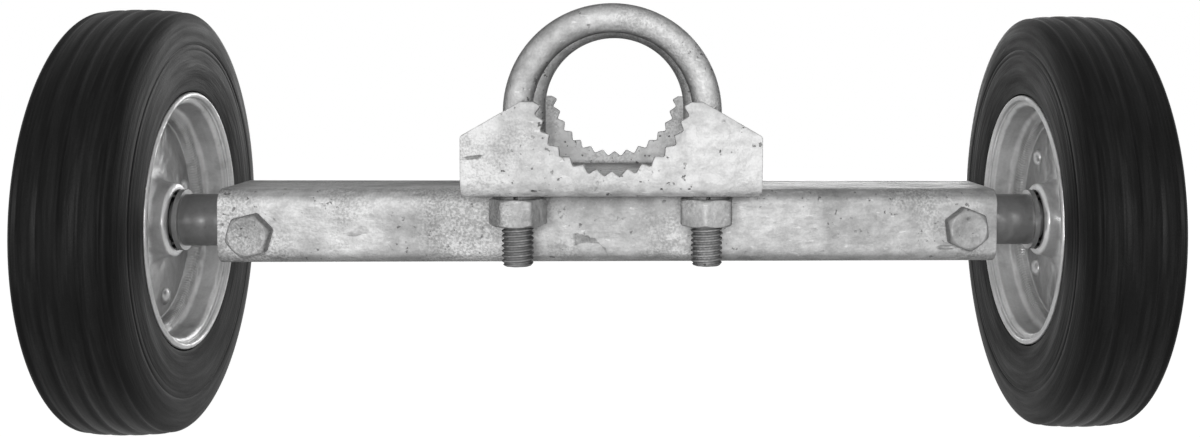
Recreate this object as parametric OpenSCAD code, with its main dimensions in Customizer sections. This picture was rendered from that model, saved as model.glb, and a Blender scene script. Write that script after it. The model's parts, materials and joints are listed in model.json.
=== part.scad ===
// Clamp-on twin-wheel carrier: a rectangular tube beam with a rubber-tyred wheel on a stub axle
// at each end, and a toothed saddle with two U-bolts on top that clamps a round pipe or jack leg.
// Frame: X runs along the axle, Y to the rear, Z up. The origin is on the ground under the middle.

/* [Beam] */
// Length of the rectangular tube
beam_l = 316; // [260:1:420]
// Depth of the tube, front to rear
beam_d = 50; // [44:0.5:70]
// Height of the tube
beam_h = 30; // [26:0.5:44]
// Wall of the tube
beam_wall = 4; // [2.5:0.5:5]
// Outer radius of the tube's long corners
beam_corner_r = 6.5; // [5.5:0.5:9]

/* [Stub axles] */
// Radial clearance of a stub axle between the tube's upper and lower walls
stub_fit = 0.2; // [0.05:0.05:0.4]
// Length of a stub axle inside the tube
stub_inside = 40; // [30:1:60]
// Length of the thick part of a stub axle outside the tube
stub_outside = 20.3; // [14:0.1:40]
// Length of the thin end past the split pin
journal_tail = 2.9; // [2.2:0.1:8]
// Chamfer on the ends of a stub axle
stub_chamfer = 1; // [0.4:0.1:2]

/* [Axle bolts] */
// Diameter of the cross bolt that holds a stub axle
axle_bolt_d = 10; // [8:0.5:12]
// Radial clearance of the cross bolt in its holes
bolt_hole_gap = 0.25; // [0.1:0.05:0.6]
// Distance of the cross bolt from the end of the tube
axle_bolt_inset = 13.5; // [12:0.5:20]
// Width of the bolt head and nut across flats
axle_bolt_af = 16; // [15:0.5:19]
// Height of the bolt head
axle_head_h = 6.4; // [5:0.1:9]
// Height of the bolt's nut
axle_nut_h = 8; // [6:0.1:11]
// Outer diameter of the washer under the nut
axle_washer_d = 20; // [19:0.5:26]
// Thickness of the washer under the nut
axle_washer_t = 2; // [1:0.1:3]
// Length of thread past the nut
axle_bolt_tail = 3; // [1:0.5:8]
// Turn of the left bolt head about its own axis
left_head_turn = 14; // [0:1:60]
// Depth of the left bolt under the axle's middle line
left_bolt_drop = 3; // [0:0.1:4]
// Depth of the right bolt under the axle's middle line
right_bolt_drop = 0.8; // [0:0.1:4]
// Turn of the right bolt head about its own axis
right_head_turn = 38; // [0:1:60]

/* [Bearings] */
// Bore of a ball bearing, and so the thin end of a stub axle
bearing_bore = 12; // [10:0.5:13]
// Outer diameter of a ball bearing
bearing_od = 28; // [27:0.5:29]
// Width of a ball bearing
bearing_w = 8; // [7:0.5:10]
// Diameter of a ball
ball_d = 4.76; // [4:0.02:4.8]
// Number of balls in a bearing
ball_count = 8; // [6:1:9]
// Play between a ball and its races
ball_play = 0.05; // [0.02:0.01:0.1]
// Chamfer on the outer corners of a bearing
bearing_chamfer = 0.6; // [0.4:0.1:0.8]
// Distance between the two bearings of a wheel
bearing_gap = 3.8; // [2:0.1:8]
// Radial clearance of a bearing on its axle and in its cup
bearing_fit = 0.03; // [0.01:0.01:0.08]
// Outer diameter of the flat washer between the stub's shoulder and the hub
shoulder_washer_d = 25.4; // [24:0.1:26]
// Thickness of that washer
shoulder_washer_t = 2; // [1:0.1:4]
// Length of the sleeve between that washer and the inner bearing
sleeve_l = 2.9; // [2.2:0.1:8]
// Outer diameter of the flat washer outside the wheel
end_washer_d = 24; // [21:0.5:26]
// Thickness of that washer
end_washer_t = 2; // [1:0.1:4]
// Diameter of the split pin
pin_d = 3.2; // [2.5:0.1:4]
// Clearance between the washer and the split pin
pin_gap = 0.5; // [0.2:0.1:1.5]

/* [Wheels] */
// Outer diameter of a tyre
wheel_d = 175; // [160:1:220]
// Width of a tyre at the bulge of its sides
tyre_w = 38.4; // [37:0.2:46]
// Width of the flat of the tread between its rounded shoulders
tread_w = 31; // [30:0.5:34]
// Height of a rounded shoulder
shoulder_h = 13; // [8:0.5:16]
// Drop of the tread from its middle to its shoulders
tread_crown = 0.9; // [0.2:0.1:2]
// Number of grooves round the tread
groove_count = 5; // [3:1:6]
// Width of a groove
groove_w = 1.6; // [1:0.1:3]
// Depth of a groove
groove_depth = 1.4; // [1:0.1:4]
// Diameter of the rim over its lips
rim_d = 107; // [100:1:112]
// Distance between the outer edges of the two rim lips
rim_w = 36.6; // [36:0.2:40]
// Height of a rim lip above the tyre's seat
rim_lip_h = 3.2; // [2.8:0.1:5]
// Gap between the rim and the rubber
rim_fit = 0.2; // [0.1:0.05:0.5]
// Thickness of the pressed sheet of a wheel disc
disc_t = 1.5; // [1:0.1:2]
// Diameter of the opening in a disc's hub cup
cup_opening_d = 25.6; // [24.6:0.1:26.4]
// Radius of the bend where the hub cup meets the web
cup_foot_r = 7; // [3:0.1:7.4]
// Width of the raised ledge round the web
ledge_w = 2.4; // [1.5:0.1:4]
// Height of the raised ledge over the web
ledge_h = 3.6; // [2:0.1:5]
// Number of rivets that join the two discs
rivet_count = 4; // [3:1:8]
// Diameter of the rivets' circle
rivet_circle_d = 71; // [62:0.5:76]
// Diameter of a rivet's shank
rivet_d = 4; // [3:0.1:5]
// Diameter of a rivet's head
rivet_head_d = 7.6; // [6.5:0.1:9]
// Height of a rivet's head
rivet_head_h = 2.2; // [1.5:0.1:3]
// Turn of the left wheel at rest
left_wheel_turn = 17; // [0:1:90]
// Turn of the right wheel at rest
right_wheel_turn = 45; // [0:1:90]

/* [Saddle] */
// Width of the saddle along the beam
saddle_w = 114; // [106:1:140]
// Thickness of the saddle's plate
saddle_t = 5; // [3:0.5:6]
// Outer radius of the saddle's two bends
saddle_bend_r = 7; // [6.5:0.5:9]
// Height of the flanges' peaks over the saddle's underside
peak_h = 36.4; // [34:0.2:42]
// Width of a peak between the notch and the sloping shoulder
peak_land = 4.8; // [3:0.2:9]
// Slope of the flanges' shoulders, in degrees
shoulder_slope = 30; // [15:1:34]
// Diameter of the notch between its tooth tips
notch_d = 54.2; // [46:0.2:58]
// Height of the notch's centre over the saddle's underside
notch_h = 37.6; // [36:0.2:42]
// Height of a tooth
tooth_h = 2.6; // [1.5:0.1:3.5]
// Number of teeth in a full circle, of which half are cut
tooth_count = 30; // [22:2:38]
// Radius of the weld beads at the saddle's ends
weld_r = 4; // [2.5:0.5:6]

/* [U-bolts] */
// Outer diameter of the largest pipe that the clamp takes
pipe_d = 60.3; // [48:0.1:64]
// Clearance between that pipe and the inside of a U-bolt
pipe_gap = 1.15; // [0.5:0.05:2]
// Diameter of a U-bolt's plain rod
rod_d = 11.6; // [10:0.1:12]
// Diameter of a U-bolt's thread
thread_d = 12.7; // [12.2:0.1:13.2]
// Height of the arch's centre over the saddle's underside
arch_h = 31.7; // [28:0.1:44]
// Length of thread past the nuts
thread_spare = 15.7; // [8:0.1:30]
// Length of thread over the saddle's underside
thread_above = 8; // [6:0.5:14]
// Chamfer at the end of a leg
leg_chamfer = 1.2; // [0.5:0.1:2]
// Radial clearance of a leg in its hole through the saddle
leg_hole_gap = 0.65; // [0.4:0.05:1.2]
// Clearance between a nut and the side of the beam
nut_side_gap = 3; // [1.5:0.1:6]
// Distance from a leg's thread to the inside of the flange
leg_flange_gap = 9.15; // [6:0.05:15]
// Width of a clamp nut across flats
clamp_nut_af = 20; // [18.5:0.5:21]
// Height of a clamp nut
clamp_nut_h = 11.1; // [8:0.1:12]
// Radial clearance between a nut and its thread
nut_play = 0.05; // [0.02:0.01:0.1]
// Thickness of a spring lock washer
lock_washer_t = 1.6; // [1.5:0.1:3.5]
// Outer diameter of a spring lock washer
lock_washer_d = 20; // [18.5:0.5:21]
// Width of the slit in a spring lock washer
lock_slit = 1.2; // [0.6:0.1:2]
// Turn of the right-hand nuts about their legs
right_nut_turn = 24; // [0:1:60]

/* [Hidden] */
$fn = 96;
LEFT = -1;
RIGHT = 1;
FRONT = -1;
REAR = 1;

// Share of a hexagon's width that its round top face takes
hex_face_share = 0.95;

// Heights
axle_z = wheel_d / 2;
beam_top = axle_z + beam_h / 2;
leg_end_z = beam_top - lock_washer_t - clamp_nut_h - thread_spare;
thread_top_z = beam_top + thread_above;
arch_z = beam_top + arch_h;
clamp_nut_z = beam_top - lock_washer_t - clamp_nut_h;

// Bearings
ball_pitch_r = (bearing_bore + bearing_od) / 4;
race_share = 0.38;
race_gap = race_share * ball_d;
groove_r = ball_d / 2 + ball_play;
cage_t = 1.1;
cage_edge = 0.5;
cage_play = 0.12;
cage_w = ball_d + 2 * (cage_play + cage_edge);

// Stub axles, with distances measured outwards along X
stub_d = beam_h - 2 * beam_wall - 2 * stub_fit;
stub_x0 = beam_l / 2 - stub_inside;
shoulder_x = beam_l / 2 + stub_outside;
axle_bolt_x = beam_l / 2 - axle_bolt_inset;
function axle_bolt_z(side) = axle_z - (side == LEFT ? left_bolt_drop : right_bolt_drop);
journal_r = bearing_bore / 2 - bearing_fit;
sleeve_x = shoulder_x + shoulder_washer_t;
sleeve_d = bearing_bore + 2 * (ball_pitch_r - race_gap - bearing_bore / 2);
inner_bearing_x = sleeve_x + sleeve_l + bearing_w / 2;
wheel_x = inner_bearing_x + bearing_w / 2 + bearing_gap / 2;
outer_bearing_x = wheel_x + bearing_gap / 2 + bearing_w / 2;
end_washer_x = outer_bearing_x + bearing_w / 2;
pin_x = end_washer_x + end_washer_t + pin_gap + pin_d / 2;
journal_end_x = pin_x + pin_d / 2 + journal_tail;

// Split pin, in shares of its own radius and of the journal's, and the bend of its legs
pin_eye_share = 1.6;
pin_eye_wire_share = 0.8;
pin_leg_share = 0.75;
pin_reach_share = 1.5;
pin_wrap_share = 0.55;
pin_reach = pin_reach_share * pin_d / 2;
pin_leg_l = pin_wrap_share * journal_r + pin_d / 2;
pin_leg_bend = 68;

// Wheel disc: the middle line of one pressed sheet, as [radius, distance from the wheel's middle]
hub_half = bearing_gap / 2 + bearing_w + disc_t + bearing_fit;
cup_r = bearing_od / 2 + bearing_fit + disc_t / 2;
cup_lip_r = disc_t / 2 + bearing_chamfer;
tyre_seat_r = rim_d / 2 - rim_lip_h;
rim_wall_r = tyre_seat_r - rim_fit - disc_t / 2;
rim_bead_r = 1.2;
rim_side_s = rim_w / 2;
web_s = disc_t / 2;
hub_s = hub_half - disc_t / 2;
ledge_s = web_s + ledge_h;
press_r = 1.5;
lip_run_share = 2.6;
seat_s = rim_side_s - lip_run_share * rim_bead_r - press_r;
arc_steps = 8;

// Tyre
tread_r = wheel_d / 2 - tread_crown;
shoulder_base_r = tread_r - shoulder_h;
groove_margin_share = 0.2;
groove_step = tread_w / (groove_count - 1 + 2 * groove_margin_share);
crown_share = 0.75;
crown_step = tread_w / 8;

// Saddle and U-bolts
nut_corner_r = clamp_nut_af / 2 / cos(30);
u_bolt_y = beam_d / 2 + nut_side_gap + nut_corner_r;
saddle_half_d = u_bolt_y + thread_d / 2 + leg_flange_gap + saddle_t;
arch_r = pipe_d / 2 + pipe_gap + rod_d / 2;
valley_r = notch_d / 2 + tooth_h;
peak_x = valley_r + peak_land;
side_h = peak_h - (saddle_w / 2 - peak_x) * tan(shoulder_slope);
leg_hole_d = thread_d + 2 * leg_hole_gap;
flat_r = beam_d / 2 - beam_corner_r;
lock_slit_lean = 35;

// ---------- helpers ----------

// Points on an arc about c, from angle a0 to a1
function arc(c, r, a0, a1) =
    [for (i = [0:arc_steps]) let (a = a0 + (a1 - a0) * i / arc_steps) c + r * [cos(a), sin(a)]];

// The same outline on the other side of the wheel's middle, without the two shared end points
function other_half(p) = [for (i = [len(p) - 2:-1:1]) [p[i][0], -p[i][1]]];

function unit(v) = v / norm(v);
function left_of(v) = [-v[1], v[0]];

// Sideways direction at point i of a path, long enough to keep the sheet's thickness in a bend
function side_at(p, i) =
    i == 0 ? left_of(unit(p[1] - p[0])) :
    i == len(p) - 1 ? left_of(unit(p[i] - p[i - 1])) :
    let (a = left_of(unit(p[i] - p[i - 1])),
         b = left_of(unit(p[i + 1] - p[i])),
         m = unit(a + b))
    m / (m * a);

// Outline of a sheet of thickness t that follows the path p and ends in a rolled bead of radius r
function sheet(p, t, r) =
    let (last = len(p) - 1,
         run = p[last] - p[last - 1],
         a = atan2(run[1], run[0]),
         open = asin(t / 2 / r))
    concat(
        [for (i = [0:last - 1]) p[i] + side_at(p, i) * t / 2],
        arc(p[last], r, a + 180 - open, a),
        arc(p[last], r, a, a - 180 + open),
        [for (i = [last - 1:-1:0]) p[i] - side_at(p, i) * t / 2]);

// Turns the child's +Z to point along X, outwards or inwards, on the axle line
module on_axle(side, x, out = 1)
    translate([side * x, 0, axle_z])
        rotate([0, 90 * side * out, 0])
            children();

module tube_ring(r0, r1, h)
    difference() {
        cylinder(r = r1, h = h);
        translate([0, 0, -h])
            cylinder(r = r0, h = 3 * h);
    }

// Rectangle with round corners, centred, from true arcs
module rounded_rect(w, h, r) {
    square([w - 2 * r, h], center = true);
    square([w, h - 2 * r], center = true);
    for (sx = [-1, 1], sy = [-1, 1])
        translate([sx * (w / 2 - r), sy * (h / 2 - r)])
            circle(r = r);
}

// Hexagon of height h with its corners chamfered at the top, and at the bottom too on a nut
module hexagon(af, h, both = false) {
    corner_r = af / 2 / cos(30);
    face_r = hex_face_share * af / 2;
    drop = (corner_r - face_r) * tan(30);
    bottom = both ? drop : 0;
    intersection() {
        cylinder(r = corner_r, h = h, $fn = 6);
        rotate_extrude()
            polygon([
                [0, 0], [both ? face_r : corner_r, 0], [corner_r, bottom],
                [corner_r, h - drop], [face_r, h], [0, h]
            ]);
    }
}

// ---------- beam ----------

module beam()
    color("gainsboro")
        difference() {
            translate([-beam_l / 2, 0, axle_z])
                rotate([90, 0, 90])
                    linear_extrude(beam_l)
                        difference() {
                            rounded_rect(beam_d, beam_h, beam_corner_r);
                            rounded_rect(beam_d - 2 * beam_wall, beam_h - 2 * beam_wall,
                                         beam_corner_r - beam_wall);
                        }
            for (side = [LEFT, RIGHT])
                translate([side * axle_bolt_x, beam_d, axle_bolt_z(side)])
                    rotate([90, 0, 0])
                        cylinder(d = axle_bolt_d + 2 * bolt_hole_gap, h = 2 * beam_d);
        }

// ---------- stub axles ----------

module stub_axle(side) {
    r = stub_d / 2;
    color("dimgray")
        difference() {
            on_axle(side, 0)
                rotate_extrude()
                    polygon([
                        [0, stub_x0], [r - stub_chamfer, stub_x0], [r, stub_x0 + stub_chamfer],
                        [r, shoulder_x], [journal_r, shoulder_x],
                        [journal_r, journal_end_x - stub_chamfer],
                        [journal_r - stub_chamfer, journal_end_x], [0, journal_end_x]
                    ]);
            translate([side * axle_bolt_x, beam_d, axle_bolt_z(side)])
                rotate([90, 0, 0])
                    cylinder(d = axle_bolt_d + 2 * bolt_hole_gap, h = 2 * beam_d);
            translate([side * pin_x, 0, axle_z - bearing_bore])
                cylinder(d = pin_d + pin_gap, h = 2 * bearing_bore);
        }
}

module axle_ring(side, x, d, t)
    color("silver")
        on_axle(side, x)
            tube_ring(bearing_bore / 2, d / 2, t);

// Split pin: a shank through the axle, an eye above it and two bent legs below
module split_pin(side) {
    r = pin_d / 2;
    eye_r = pin_eye_share * r;
    color("silver")
        translate([side * pin_x, 0, axle_z]) {
            translate([0, 0, -journal_r - pin_reach])
                cylinder(r = r, h = 2 * (journal_r + pin_reach));
            translate([0, 0, journal_r + pin_reach + eye_r])
                rotate([0, 90, 0])
                    rotate_extrude()
                        translate([eye_r, 0])
                            circle(r = pin_eye_wire_share * r);
            for (way = [-1, 1])
                translate([0, 0, -journal_r - r])
                    rotate([way * pin_leg_bend, 0, 0])
                        translate([0, 0, -pin_leg_l])
                            cylinder(r = pin_leg_share * r, h = pin_leg_l);
        }
}

// ---------- axle bolts ----------

module axle_bolt(side, turn)
    color("silver")
        translate([side * axle_bolt_x, 0, axle_bolt_z(side)])
            rotate([90, 0, 0]) {
                translate([0, 0, beam_d / 2])
                    rotate([0, 0, turn])
                        hexagon(axle_bolt_af, axle_head_h);
                shank = beam_d + axle_washer_t + axle_nut_h + axle_bolt_tail;
                translate([0, 0, beam_d / 2 - shank])
                    cylinder(d = axle_bolt_d, h = shank);
            }

module behind_beam(side, y, turn = 0)
    translate([side * axle_bolt_x, beam_d / 2 + y, axle_bolt_z(side)])
        rotate([-90, 0, 0])
            rotate([0, 0, turn])
                children();

module axle_bolt_washers()
    color("silver")
        for (side = [LEFT, RIGHT])
            behind_beam(side, 0)
                tube_ring(axle_bolt_d / 2 + bolt_hole_gap, axle_washer_d / 2, axle_washer_t);

module axle_bolt_nuts()
    color("silver")
        for (side = [LEFT, RIGHT])
            behind_beam(side, axle_washer_t, side * axle_bolt_af)
                difference() {
                    hexagon(axle_bolt_af, axle_nut_h, both = true);
                    translate([0, 0, -axle_nut_h])
                        cylinder(r = axle_bolt_d / 2 + nut_play, h = 3 * axle_nut_h);
                }

// ---------- ball bearings, along Z about their own middle ----------

module inner_ring()
    color("lightsteelblue")
        rotate_extrude()
            difference() {
                translate([bearing_bore / 2, -bearing_w / 2])
                    square([ball_pitch_r - race_gap - bearing_bore / 2, bearing_w]);
                translate([ball_pitch_r, 0])
                    circle(r = groove_r);
            }

module outer_ring() {
    r0 = ball_pitch_r + race_gap;
    r1 = bearing_od / 2;
    half = bearing_w / 2;
    color("lightsteelblue")
        rotate_extrude()
            difference() {
                polygon([
                    [r0, -half], [r1 - bearing_chamfer, -half], [r1, -half + bearing_chamfer],
                    [r1, half - bearing_chamfer], [r1 - bearing_chamfer, half], [r0, half]
                ]);
                translate([ball_pitch_r, 0])
                    circle(r = groove_r);
            }
}

module balls()
    color("white")
        for (i = [0:ball_count - 1])
            rotate(360 * i / ball_count)
                translate([ball_pitch_r, 0, 0])
                    sphere(d = ball_d);

module cage()
    color("tan")
        difference() {
            translate([0, 0, -cage_w / 2])
                tube_ring(ball_pitch_r - cage_t / 2, ball_pitch_r + cage_t / 2, cage_w);
            for (i = [0:ball_count - 1])
                rotate(360 * i / ball_count)
                    rotate([0, 90, 0])
                        cylinder(r = ball_d / 2 + cage_play, h = bearing_od);
        }

// ---------- wheels ----------

// Middle line of a pressed half disc, from the hub cup's opening out to the rolled rim lip
disc_path = concat(
    [[cup_opening_d / 2, hub_s]],
    arc([cup_r - cup_lip_r, hub_s - cup_lip_r], cup_lip_r, 90, 0),
    arc([cup_r + cup_foot_r, web_s + cup_foot_r], cup_foot_r, 180, 270),
    arc([rim_wall_r - press_r - ledge_w - 2 * press_r, web_s + press_r], press_r, 270, 360),
    arc([rim_wall_r - press_r - ledge_w, ledge_s - press_r], press_r, 180, 90),
    arc([rim_wall_r - press_r, ledge_s + press_r], press_r, 270, 360),
    arc([rim_wall_r + press_r, seat_s], press_r, 180, 90),
    [[rim_d / 2 - rim_bead_r, rim_side_s - rim_bead_r]]);

module wheel_disc(side, out, turn)
    color("lightgray")
        difference() {
            on_axle(side, wheel_x, out)
                rotate_extrude()
                    polygon(sheet(disc_path, disc_t, rim_bead_r));
            on_rivet_circle(side, turn)
                translate([0, 0, -rim_w])
                    cylinder(d = rivet_d + 2 * bearing_fit, h = 2 * rim_w);
        }

// Puts the child at each rivet of a wheel
module on_rivet_circle(side, turn)
    translate([side * wheel_x, 0, axle_z])
        for (i = [0:rivet_count - 1])
            rotate([turn + 360 * i / rivet_count, 0, 0])
                translate([0, rivet_circle_d / 2, 0])
                    rotate([0, 90, 0])
                        children();

module rivets(side, turn) {
    head_ball_r = (pow(rivet_head_d / 2, 2) + pow(rivet_head_h, 2)) / (2 * rivet_head_h);
    color("silver")
        on_rivet_circle(side, turn) {
            translate([0, 0, -disc_t])
                cylinder(d = rivet_d, h = 2 * disc_t);
            for (way = [0, 180])
                rotate([way, 0, 0])
                    translate([0, 0, disc_t])
                        intersection() {
                            translate([0, 0, rivet_head_h - head_ball_r])
                                sphere(r = head_ball_r);
                            cylinder(r = rivet_head_d, h = rivet_head_h);
                        }
        }
}

// Half of the tyre's outline, as [radius, distance from the wheel's middle]
bead_r = rim_d / 2 + rim_fit;
side_s = rim_side_s - rim_bead_r / 2;
side_rise = tyre_w / 2 - side_s;
bulge_share = 0.625;
tyre_half = concat(
    [[tyre_seat_r, 0], [tyre_seat_r, seat_s - press_r]],
    [[bead_r, seat_s + rim_fit - press_r], [bead_r, rim_side_s - 2 * rim_bead_r]],
    [for (i = [0:arc_steps]) let (f = i / arc_steps)
        [bead_r + rim_bead_r + (shoulder_base_r - bead_r - rim_bead_r) * f,
         side_s + side_rise * sin(90 * min(1, f / bulge_share))]],
    [for (i = [1:2 * arc_steps]) let (a = 90 * i / (2 * arc_steps))
        [shoulder_base_r + shoulder_h * sin(a),
         tread_w / 2 + (tyre_w - tread_w) / 2 * cos(a)]],
    [[tread_r + crown_share * tread_crown, 2 * crown_step], [wheel_d / 2, crown_step],
     [wheel_d / 2, 0]]);

module tyre(side)
    color("black")
        on_axle(side, wheel_x)
            rotate_extrude()
                difference() {
                    polygon(concat(tyre_half, other_half(tyre_half)));
                    for (i = [0:groove_count - 1])
                        translate([wheel_d / 2 - groove_depth,
                                   (i - (groove_count - 1) / 2) * groove_step - groove_w / 2])
                            square([2 * groove_depth, groove_w]);
                }

// ---------- saddle ----------

// Channel section of the saddle: a flat web with a flange up at the front and at the rear
module saddle_section() {
    module outline(half, bottom, r)
        union() {
            translate([-half, bottom + r])
                square([2 * half, 2 * peak_h]);
            translate([-half + r, bottom])
                square([2 * (half - r), 2 * r]);
            for (s = [-1, 1])
                translate([s * (half - r), bottom + r])
                    circle(r = r);
        }
    difference() {
        outline(saddle_half_d, 0, saddle_bend_r);
        outline(saddle_half_d - saddle_t, saddle_t, saddle_bend_r - saddle_t);
    }
}

// Teeth point at the notch's centre: tips on the notch circle, valleys one tooth deeper
notch_points = [
    for (i = [0:tooth_count])
        let (a = 180 + 180 * i / tooth_count,
             r = i % 2 == 0 ? valley_r : notch_d / 2)
        [r * cos(a), notch_h + r * sin(a)]
];

module flange_outline()
    polygon(concat(
        [[-saddle_w / 2, 0], [-saddle_w / 2, side_h], [-peak_x, peak_h], [-valley_r, peak_h]],
        [for (p = notch_points) [p[0], min(p[1], peak_h)]],
        [[valley_r, peak_h], [peak_x, peak_h], [saddle_w / 2, side_h], [saddle_w / 2, 0]]));

module at_legs(fronts = [FRONT, REAR])
    for (y = fronts, x = [LEFT, RIGHT])
        translate([x * arch_r, y * u_bolt_y, 0])
            children();

module saddle()
    color("gainsboro")
        difference() {
            translate([0, 0, beam_top])
                intersection() {
                    translate([-saddle_w, 0, 0])
                        rotate([90, 0, 90])
                            linear_extrude(2 * saddle_w)
                                saddle_section();
                    rotate([90, 0, 0])
                        linear_extrude(4 * saddle_half_d, center = true)
                            flange_outline();
                }
            at_legs()
                translate([0, 0, beam_top - saddle_t])
                    cylinder(d = leg_hole_d, h = 3 * saddle_t);
        }

module saddle_welds()
    color("darkgray")
        for (side = [LEFT, RIGHT])
            translate([side * saddle_w / 2, flat_r, beam_top])
                rotate([90, 0, 0])
                    linear_extrude(2 * flat_r)
                        intersection() {
                            circle(r = weld_r);
                            translate([side > 0 ? 0 : -weld_r, 0])
                                square(weld_r);
                        }

// ---------- U-bolts ----------

module u_bolt(y)
    color("silver") {
        translate([0, y * u_bolt_y, arch_z])
            rotate([90, 0, 0])
                rotate_extrude(angle = 180)
                    translate([arch_r, 0])
                        circle(d = rod_d);
        at_legs([y]) {
            translate([0, 0, thread_top_z])
                cylinder(d = rod_d, h = arch_z - thread_top_z);
            translate([0, 0, leg_end_z + leg_chamfer])
                cylinder(d = thread_d, h = thread_top_z - leg_end_z - leg_chamfer);
            translate([0, 0, leg_end_z])
                cylinder(d1 = thread_d - 2 * leg_chamfer, d2 = thread_d, h = leg_chamfer);
        }
    }

module clamp_nut(x, y)
    color("silver")
        translate([x * arch_r, y * u_bolt_y, clamp_nut_z])
            rotate(x == RIGHT ? right_nut_turn : 0)
                difference() {
                    hexagon(clamp_nut_af, clamp_nut_h, both = true);
                    translate([0, 0, -clamp_nut_h])
                        cylinder(r = thread_d / 2 + nut_play, h = 3 * clamp_nut_h);
                }

module lock_washers()
    color("gray")
        at_legs()
            translate([0, 0, beam_top - lock_washer_t])
                difference() {
                    tube_ring(thread_d / 2 + leg_hole_gap / 2, lock_washer_d / 2, lock_washer_t);
                    rotate([0, -lock_slit_lean, 0])
                        translate([-lock_slit / 2, 0, -lock_washer_d])
                            cube([lock_slit, lock_washer_d, 2 * lock_washer_d]);
                }

// ---------- nodes ----------

module bearing_at(side, x) on_axle(side, x) children();

beam();
saddle();
saddle_welds();
u_bolt(FRONT);  // front_u_bolt
u_bolt(REAR);  // rear_u_bolt
clamp_nut(LEFT, FRONT);  // front_left_clamp_nut
clamp_nut(RIGHT, FRONT);  // front_right_clamp_nut
clamp_nut(LEFT, REAR);  // rear_left_clamp_nut
clamp_nut(RIGHT, REAR);  // rear_right_clamp_nut
lock_washers();
axle_bolt(LEFT, left_head_turn);  // left_axle_bolt
axle_bolt(RIGHT, right_head_turn);  // right_axle_bolt
axle_bolt_washers();
axle_bolt_nuts();

stub_axle(LEFT);  // left_stub_axle
axle_ring(LEFT, shoulder_x, shoulder_washer_d, shoulder_washer_t);  // left_shoulder_washer
axle_ring(LEFT, sleeve_x, sleeve_d, sleeve_l);  // left_axle_sleeve
bearing_at(LEFT, inner_bearing_x) inner_ring();  // left_inner_bearing_inner_ring
bearing_at(LEFT, inner_bearing_x) outer_ring();  // left_inner_bearing_outer_ring
bearing_at(LEFT, inner_bearing_x) balls();  // left_inner_bearing_balls
bearing_at(LEFT, inner_bearing_x) cage();  // left_inner_bearing_cage
axle_ring(LEFT, wheel_x - bearing_gap / 2, sleeve_d, bearing_gap);  // left_bearing_spacer
bearing_at(LEFT, outer_bearing_x) inner_ring();  // left_outer_bearing_inner_ring
bearing_at(LEFT, outer_bearing_x) outer_ring();  // left_outer_bearing_outer_ring
bearing_at(LEFT, outer_bearing_x) balls();  // left_outer_bearing_balls
bearing_at(LEFT, outer_bearing_x) cage();  // left_outer_bearing_cage
axle_ring(LEFT, end_washer_x, end_washer_d, end_washer_t);  // left_end_washer
split_pin(LEFT);  // left_split_pin
tyre(LEFT);  // left_tyre
wheel_disc(LEFT, -1, left_wheel_turn);  // left_inner_disc
wheel_disc(LEFT, 1, left_wheel_turn);  // left_outer_disc
rivets(LEFT, left_wheel_turn);  // left_rivets

stub_axle(RIGHT);  // right_stub_axle
axle_ring(RIGHT, shoulder_x, shoulder_washer_d, shoulder_washer_t);  // right_shoulder_washer
axle_ring(RIGHT, sleeve_x, sleeve_d, sleeve_l);  // right_axle_sleeve
bearing_at(RIGHT, inner_bearing_x) inner_ring();  // right_inner_bearing_inner_ring
bearing_at(RIGHT, inner_bearing_x) outer_ring();  // right_inner_bearing_outer_ring
bearing_at(RIGHT, inner_bearing_x) balls();  // right_inner_bearing_balls
bearing_at(RIGHT, inner_bearing_x) cage();  // right_inner_bearing_cage
axle_ring(RIGHT, wheel_x - bearing_gap / 2, sleeve_d, bearing_gap);  // right_bearing_spacer
bearing_at(RIGHT, outer_bearing_x) inner_ring();  // right_outer_bearing_inner_ring
bearing_at(RIGHT, outer_bearing_x) outer_ring();  // right_outer_bearing_outer_ring
bearing_at(RIGHT, outer_bearing_x) balls();  // right_outer_bearing_balls
bearing_at(RIGHT, outer_bearing_x) cage();  // right_outer_bearing_cage
axle_ring(RIGHT, end_washer_x, end_washer_d, end_washer_t);  // right_end_washer
split_pin(RIGHT);  // right_split_pin
tyre(RIGHT);  // right_tyre
wheel_disc(RIGHT, -1, right_wheel_turn);  // right_inner_disc
wheel_disc(RIGHT, 1, right_wheel_turn);  // right_outer_disc
rivets(RIGHT, right_wheel_turn);  // right_rivets
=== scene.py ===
# %% [markdown]
# # A clamp-on twin-wheel carrier
# A rectangular steel tube carries a rubber-tyred wheel on a stub axle at each end. A toothed
# saddle with two U-bolts sits on top and grips a round jack leg or pipe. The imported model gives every
# place and size. This lesson makes what a size can't give: pressed sheet, moulded rubber, cut threads
# and hot-dipped zinc. Everything is in metres, with X along the axle, Y to the rear and Z up.

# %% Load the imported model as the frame
import json
import math
import random

import bmesh
import bpy
from mathutils import Euler, Matrix, Vector, geometry, noise


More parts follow.
